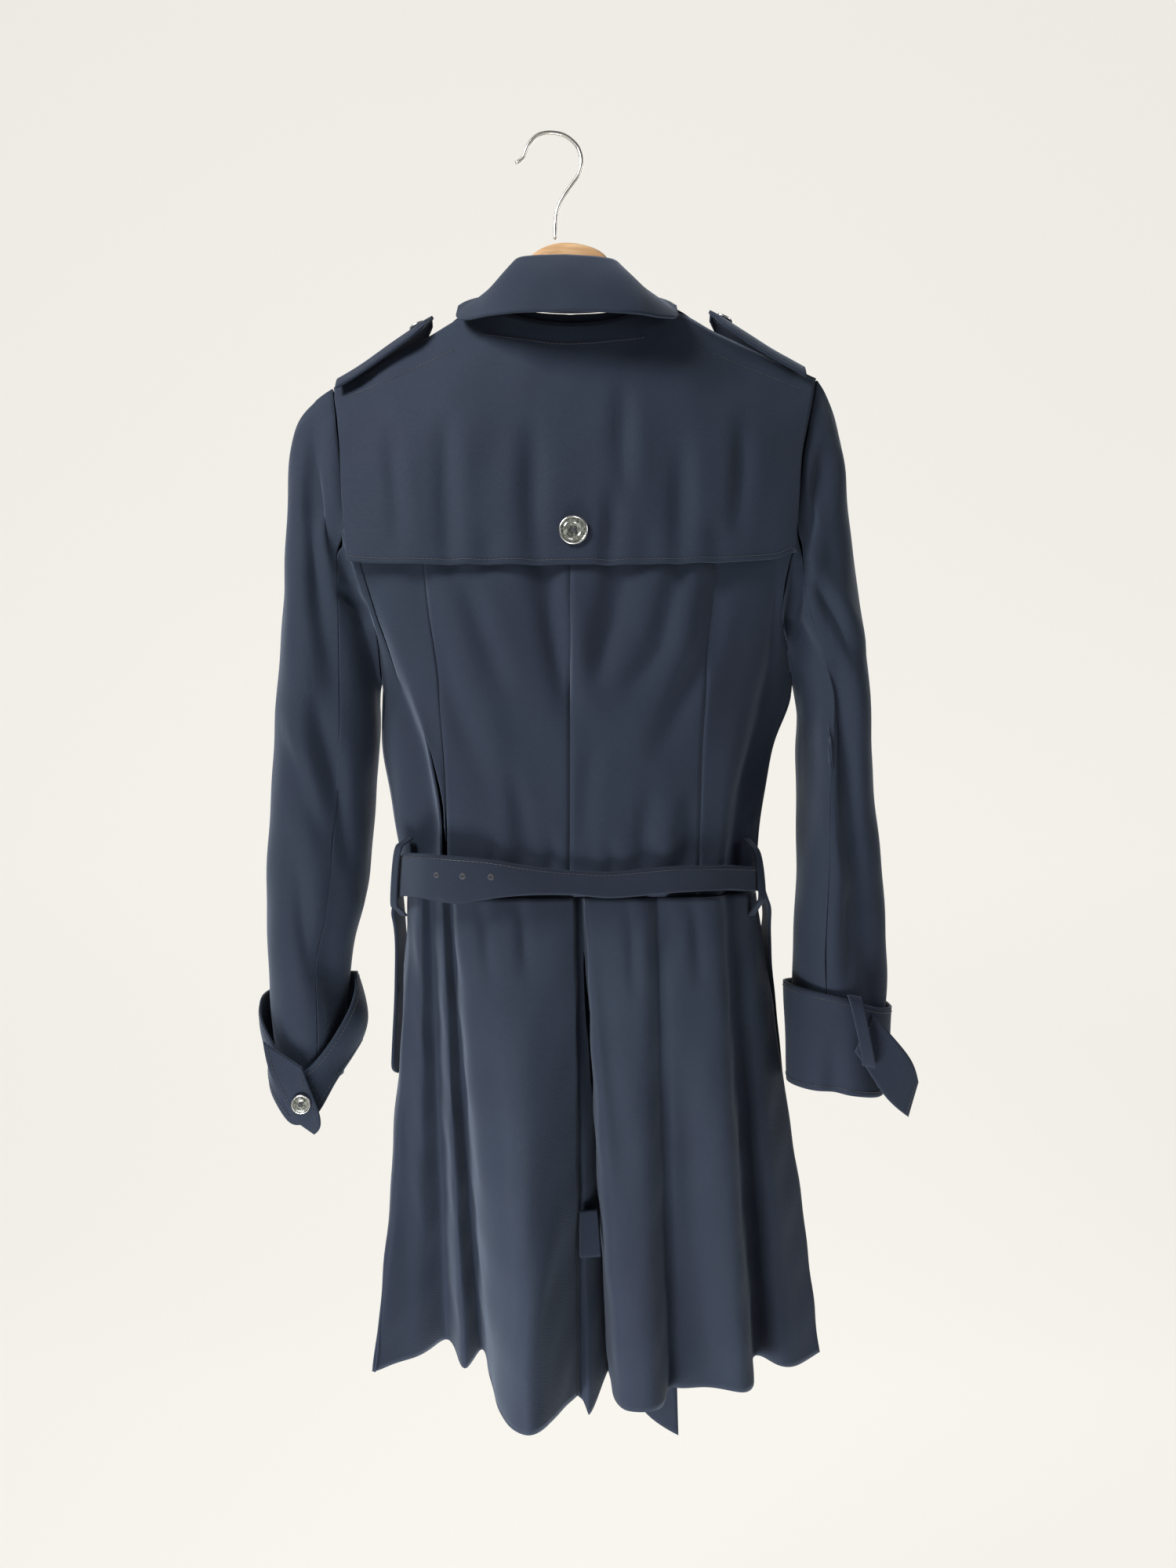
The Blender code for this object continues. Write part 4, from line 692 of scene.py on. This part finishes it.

# %% [markdown]
# ## Eyelets
# Three eyelets run along the wide end of the belt. Each is a small ring of close navy stitches round a
# flat dark disc of painted shade in place of the hole, laid flat on the belt where a line from behind
# the coat meets it.

# %% belt eyelets
EYELETS = (("across", "drop"), (-99, 581.5), (-79, 582), (-58, 582.5))
EYELET_RADIUS = 1.7 * MM
belt_mesh = cloth_pieces["belt"].data
belt_tree = BVHTree.FromPolygons([Vector(p) for p in points_of(belt_mesh)],
                                 [tuple(f.vertices) for f in belt_mesh.polygons])
eyelet_rings, eyelet_hole_shades = bmesh.new(), bmesh.new()
for across, drop in EYELETS[1:]:
    start = Vector(((across + CENTRE) * MM, -0.5, -drop * MM))
    spot, normal, _, _ = belt_tree.ray_cast(start, Vector((0, 1, 0)))
    normal = normal if normal.y < 0 else -normal
    turn = Vector((0, 0, 1)).rotation_difference(normal).to_matrix().to_4x4()
    place = Matrix.Translation(spot + normal * 0.15 * MM) @ turn
    corners = [eyelet_rings.verts.new(place @ Vector((EYELET_RADIUS + 0.75 * MM * math.cos(a), 0,
                                                      0.35 * MM * math.sin(a))))
               for a in np.linspace(0, 2 * math.pi, 10, endpoint=False)]
    lines = [eyelet_rings.edges.new(pair) for pair in zip(corners, corners[1:] + corners[:1])]
    bmesh.ops.spin(eyelet_rings, geom=corners + lines, cent=place.translation, axis=normal,
                   angle=2 * math.pi, steps=24, use_merge=True)
    # painted shade: a thin dark disc on the belt stands in for the eyelet's hole
    bmesh.ops.create_cone(eyelet_hole_shades, cap_ends=True, segments=20, radius1=EYELET_RADIUS,
                          radius2=EYELET_RADIUS, depth=0.25 * MM, matrix=place)
bmesh.ops.remove_doubles(eyelet_rings, verts=eyelet_rings.verts, dist=0.000001)
bmesh.ops.recalc_face_normals(eyelet_rings, faces=eyelet_rings.faces)
print("eyelets:", len(EYELETS) - 1)

# %% [markdown]
# ## Buttons
# Each button is a disc of grey horn held in a bright metal rim, with four holes. Both are turned
# shapes: a profile spun once round its axis. The holes are not cut: each is a flat near-black disc on
# the face, painted shade for the hole, and the thread crosses them in two bars.

# %% finishes of the buttons
horn, parts, joins, shader = new_finish("grey_horn")
where = parts.new("ShaderNodeTexCoord")
veins = parts.new("ShaderNodeTexNoise")
veins.inputs["Scale"].default_value = 260
veins.inputs["Detail"].default_value = 6
veins.inputs["Distortion"].default_value = 1.6
joins.new(where.outputs["Object"], veins.inputs["Vector"])
tones = parts.new("ShaderNodeValToRGB")
tones.color_ramp.elements[0].position = 0.32
tones.color_ramp.elements[0].color = (0.010, 0.011, 0.010, 1)
tones.color_ramp.elements[1].position = 0.68
tones.color_ramp.elements[1].color = (0.20, 0.21, 0.18, 1)
joins.new(veins.outputs["Fac"], tones.inputs["Fac"])
joins.new(tones.outputs["Color"], shader.inputs["Base Color"])
shader.inputs["Roughness"].default_value = 0.22
shader.inputs["Coat Weight"].default_value = 0.5


def plain_finish(name, colour, roughness, metallic=0.0):
    made, _, _, shader = new_finish(name)
    shader.inputs["Base Color"].default_value = (*colour, 1)
    shader.inputs["Roughness"].default_value = roughness
    shader.inputs["Metallic"].default_value = metallic
    return made


def brushed(name, colour, roughness):
    """Metal with fine scratches, which come from stretched noise in its roughness."""
    made, parts, joins, shader = new_finish(name)
    shader.inputs["Base Color"].default_value = (*colour, 1)
    shader.inputs["Metallic"].default_value = 1
    where = parts.new("ShaderNodeTexCoord")
    stretch = parts.new("ShaderNodeMapping")
    stretch.inputs["Scale"].default_value = (900, 900, 60)
    joins.new(where.outputs["Object"], stretch.inputs["Vector"])
    scratches = parts.new("ShaderNodeTexNoise")
    scratches.inputs["Scale"].default_value = 1
    joins.new(stretch.outputs["Vector"], scratches.inputs["Vector"])
    spread = parts.new("ShaderNodeMapRange")
    spread.inputs["To Min"].default_value = roughness * 0.7
    spread.inputs["To Max"].default_value = roughness * 1.4
    joins.new(scratches.outputs["Fac"], spread.inputs["Value"])
    joins.new(spread.outputs["Result"], shader.inputs["Roughness"])
    return made


bright_rim = plain_finish("bright_rim", (0.66, 0.66, 0.64), 0.24, metallic=1.0)
# painted shade: a near-black finish for flat discs that stand in for the shade inside the buttons' holes
# and the belt's eyelets
hole_shade_paint = plain_finish("painted_hole_shade", (0.01, 0.01, 0.012), 0.6)

# %% turn the buttons
FACE_PROFILE = (    # share of the radius, height in shares of the radius
    ("radius", "height"),
    (0.0, 0.15), (0.40, 0.15), (0.48, 0.19), (0.54, 0.25), (0.60, 0.26), (0.66, 0.20), (0.72, 0.16),
    (0.84, 0.16),
)
RIM_PROFILE = (
    ("radius", "height"),
    (0.84, 0.14), (0.85, 0.21), (0.89, 0.24), (0.95, 0.22), (1.0, 0.15), (1.0, 0.05), (0.94, 0.0),
    (0.0, 0.0),
)
BUTTONS = {    # which way each button faces, and how wide it is in millimetres
    "button_cape": ((0, -1, 0), 22),
    "button_cuff_left": ((0, -1, 0), 15),
    "button_cuff_right": ((0, 1, 0), 15),
    **{f"button_front_{side}_{row}": ((0, 1, 0), 22) for side in ("left", "right") for row in (1, 2, 3)},
}


def turned(bm, profile, radius):
    """Spin a profile into a closed turned shape about +Z."""
    corners = [bm.verts.new((r * radius, 0, h * radius)) for r, h in profile[1:]]
    lines = [bm.edges.new(pair) for pair in zip(corners, corners[1:])]
    bmesh.ops.spin(bm, geom=corners + lines, cent=(0, 0, 0), axis=(0, 0, 1), angle=2 * math.pi, steps=40,
                   use_merge=True)
    bmesh.ops.remove_doubles(bm, verts=bm.verts, dist=0.000001)
    bmesh.ops.recalc_face_normals(bm, faces=bm.faces)


def piece_from(bm, name, place, finish, smooth=True):
    bmesh.ops.transform(bm, matrix=place, verts=bm.verts)
    made = bpy.data.meshes.new(name)
    bm.to_mesh(made)
    bm.free()
    if smooth:
        made.shade_smooth()
        made.set_sharp_from_angle(angle=math.radians(70))
    made.materials.append(finish)
    piece = bpy.data.objects.new(name, made)
    bpy.context.scene.collection.objects.link(piece)
    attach(piece, "root")
    return piece


def place_of(node, facing):
    """Where a CAD button's back is, and its turn."""
    low, high = (Vector(corner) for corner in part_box(node))
    points = [Vector(v.co) for v in nodes[node].data.vertices]
    way = Vector(facing).normalized()
    middle = (low + high) / 2
    back = min((p - middle).dot(way) for p in points)
    turn = Vector((0, 0, 1)).rotation_difference(way).to_matrix().to_4x4()
    return Matrix.Translation(middle + way * back) @ turn


def finish_button(node, facing, width):
    radius = width / 2 * MM
    place = place_of(node, facing)
    bm = bmesh.new()
    turned(bm, RIM_PROFILE, radius)
    rim = piece_from(bm, node + "_rim", place, bright_rim)
    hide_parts(node)
    bm = bmesh.new()
    turned(bm, FACE_PROFILE, radius)
    piece_from(bm, node + "_face", place, horn)
    # the four holes are not cut: flat near-black discs on the face are painted shade for them
    bm = bmesh.new()
    for quarter in range(4):
        angle = math.pi / 4 + quarter * math.pi / 2
        spot = Matrix.Translation((0.2 * radius * math.cos(angle), 0.2 * radius * math.sin(angle),
                                   0.165 * radius))
        bmesh.ops.create_cone(bm, cap_ends=True, segments=14, radius1=0.095 * radius,
                              radius2=0.095 * radius, depth=0.03 * radius, matrix=spot)
    piece_from(bm, node + "_holes", place, hole_shade_paint)
    bm = bmesh.new()
    for turn in (0, 1):
        for lean in (-1, 1):
            bar = (Matrix.Rotation(turn * math.pi / 2 + math.pi / 4, 4, "Z")
                   @ Matrix.Translation((0, lean * 0.02 * radius, (0.2 + 0.03 * turn) * radius))
                   @ Matrix.Rotation(math.pi / 2, 4, "Y"))
            bmesh.ops.create_cone(bm, cap_ends=True, segments=8, radius1=0.03 * radius,
                                  radius2=0.03 * radius, depth=0.44 * radius, matrix=bar)
    piece_from(bm, node + "_thread", place, thread)


for node, (facing, width) in BUTTONS.items():
    finish_button(node, facing, width)
eyelet_metal = piece_from(eyelet_rings, "belt_eyelet_rings", Matrix.Identity(4), thread)
eyelet_painted_shade = piece_from(eyelet_hole_shades, "belt_eyelet_holes", Matrix.Identity(4), hole_shade_paint)
print("buttons:", len(BUTTONS))

# %% the epaulettes' buttons face up the shoulder
for side, sign in (("left", -1), ("right", 1)):
    finish_button(f"button_epaulette_{side}", (sign * 0.42, 0, 0.91), 15)

# %% [markdown]
# ## Hanger and hook
# The hanger is a bent bar of beech, sanded round at its edges. Its grain runs along it. The hook is one
# steel wire.

# %% beech
beech, parts, joins, shader = new_finish("beech")
where = parts.new("ShaderNodeTexCoord")
stretch = parts.new("ShaderNodeMapping")
stretch.inputs["Scale"].default_value = (14, 90, 90)
joins.new(where.outputs["Object"], stretch.inputs["Vector"])
grain = parts.new("ShaderNodeTexNoise")
grain.inputs["Scale"].default_value = 2.2
grain.inputs["Detail"].default_value = 7
grain.inputs["Distortion"].default_value = 0.8
joins.new(stretch.outputs["Vector"], grain.inputs["Vector"])
tones = parts.new("ShaderNodeValToRGB")
tones.color_ramp.elements[0].position = 0.3
tones.color_ramp.elements[0].color = (0.38, 0.215, 0.10, 1)
tones.color_ramp.elements[1].position = 0.7
tones.color_ramp.elements[1].color = (0.60, 0.395, 0.215, 1)
joins.new(grain.outputs["Fac"], tones.inputs["Fac"])
joins.new(tones.outputs["Color"], shader.inputs["Base Color"])
shader.inputs["Roughness"].default_value = 0.42
bump = parts.new("ShaderNodeBump")
bump.inputs["Strength"].default_value = 0.2
bump.inputs["Distance"].default_value = 0.0004
joins.new(grain.outputs["Fac"], bump.inputs["Height"])
joins.new(bump.outputs["Normal"], shader.inputs["Normal"])
steel = brushed("brushed_steel", (0.60, 0.58, 0.54), 0.3)


# %% hanger, hook and buckle
def rounded_copy(node, finish, levels):
    bm = merged_copy(node)
    bmesh.ops.join_triangles(bm, faces=bm.faces, angle_face_threshold=0.5, angle_shape_threshold=3.1,
                             cmp_seam=False, cmp_sharp=False, cmp_uvs=False, cmp_vcols=False,
                             cmp_materials=False)
    piece = piece_from(bm, node + "_finished", Matrix.Identity(4), finish)
    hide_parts(node)
    if levels:
        smooth = piece.modifiers.new("rounded", "SUBSURF")
        smooth.levels = smooth.render_levels = levels
    return piece


rounded_copy("hanger_wood", beech, 2)
rounded_copy("hanger_hook", steel, 1)
rounded_copy("belt_buckle", steel, 1)

# %% [markdown]
# ## Light, floor and camera
# Four soft lamps: a near one high on the left, which lights the collar most, a weak one on the right,
# one low down on the left that lifts the hem, and one beyond the coat for its front. The backdrop is one
# pale sheet, floor and wall, joined by a wide curve so that no line shows.

# %% backdrop
bm = bmesh.new()
bmesh.ops.create_grid(bm, x_segments=1, y_segments=1, size=3.5)
bmesh.ops.translate(bm, verts=bm.verts, vec=(0, -2.2, -1.45))
rear = [e for e in bm.edges if all(v.co.y > 0 for v in e.verts)]
for step in range(10):
    grown = bmesh.ops.extrude_edge_only(bm, edges=rear)
    rear = [g for g in grown["geom"] if isinstance(g, bmesh.types.BMEdge)]
    angle = math.radians(9 * (step + 0.5))
    bmesh.ops.translate(bm, verts=list({v for e in rear for v in e.verts}),
                        vec=(0, 0.12 * math.cos(angle), 0.12 * math.sin(angle)))
grown = bmesh.ops.extrude_edge_only(bm, edges=rear)
bmesh.ops.translate(bm, verts=[g for g in grown["geom"] if isinstance(g, bmesh.types.BMVert)],
                    vec=(0, 0, 4.0))
bmesh.ops.recalc_face_normals(bm, faces=bm.faces)
backdrop_mesh = bpy.data.meshes.new("backdrop")
bm.to_mesh(backdrop_mesh)
bm.free()
backdrop_mesh.shade_smooth()
cream, _, _, cream_shader = new_finish("pale_backdrop")
cream_shader.inputs["Base Color"].default_value = (0.16, 0.155, 0.145, 1)
cream_shader.inputs["Roughness"].default_value = 0.9
cream_shader.inputs["Emission Color"].default_value = (0.80, 0.78, 0.73, 1)
cream_shader.inputs["Emission Strength"].default_value = 0.97
backdrop_mesh.materials.append(cream)
backdrop = bpy.data.objects.new("backdrop", backdrop_mesh)
bpy.context.scene.collection.objects.link(backdrop)

# %% lamps
LAMPS = (    # place, what it points at, its width and its watts
    ("lamp", "x", "y", "z", "at_x", "at_z", "size", "watts"),
    ("key", -0.60, -0.50, 0.28, 0.0, -0.10, 0.35, 15),
    ("side", 1.3, -0.6, 0.0, 0.1, -0.35, 0.6, 5),
    ("low", -0.30, -0.55, -1.42, 0.02, -1.0, 0.5, 24),
    ("front", 0.5, 1.6, 0.2, 0.0, -0.5, 1.2, 14),
)
for name, x, y, z, at_x, at_z, size, watts in LAMPS[1:]:
    lamp = bpy.data.lights.new(name, "AREA")
    lamp.size = size
    lamp.energy = watts
    holder = bpy.data.objects.new(name, lamp)
    holder.location = (x, y, z)
    holder.rotation_euler = (Vector((at_x, 0, at_z)) - holder.location).to_track_quat("-Z", "Y").to_euler()
    bpy.context.scene.collection.objects.link(holder)
world = bpy.data.worlds.new("studio")
world.use_nodes = True
world.node_tree.nodes["Background"].inputs["Color"].default_value = (0.95, 0.97, 1.0, 1)
world.node_tree.nodes["Background"].inputs["Strength"].default_value = 0.12
bpy.context.scene.world = world
bpy.context.scene.view_settings.view_transform = "Standard"

# %% camera
lens = bpy.data.cameras.new("camera")
lens.sensor_fit = "VERTICAL"
lens.sensor_height = 36
lens.lens = 37.7
camera = bpy.data.objects.new("camera", lens)
camera.location = (0.0304, -1.3, -0.514)
camera.rotation_euler = (math.radians(90), 0, 0)
bpy.context.scene.collection.objects.link(camera)
bpy.context.scene.camera = camera
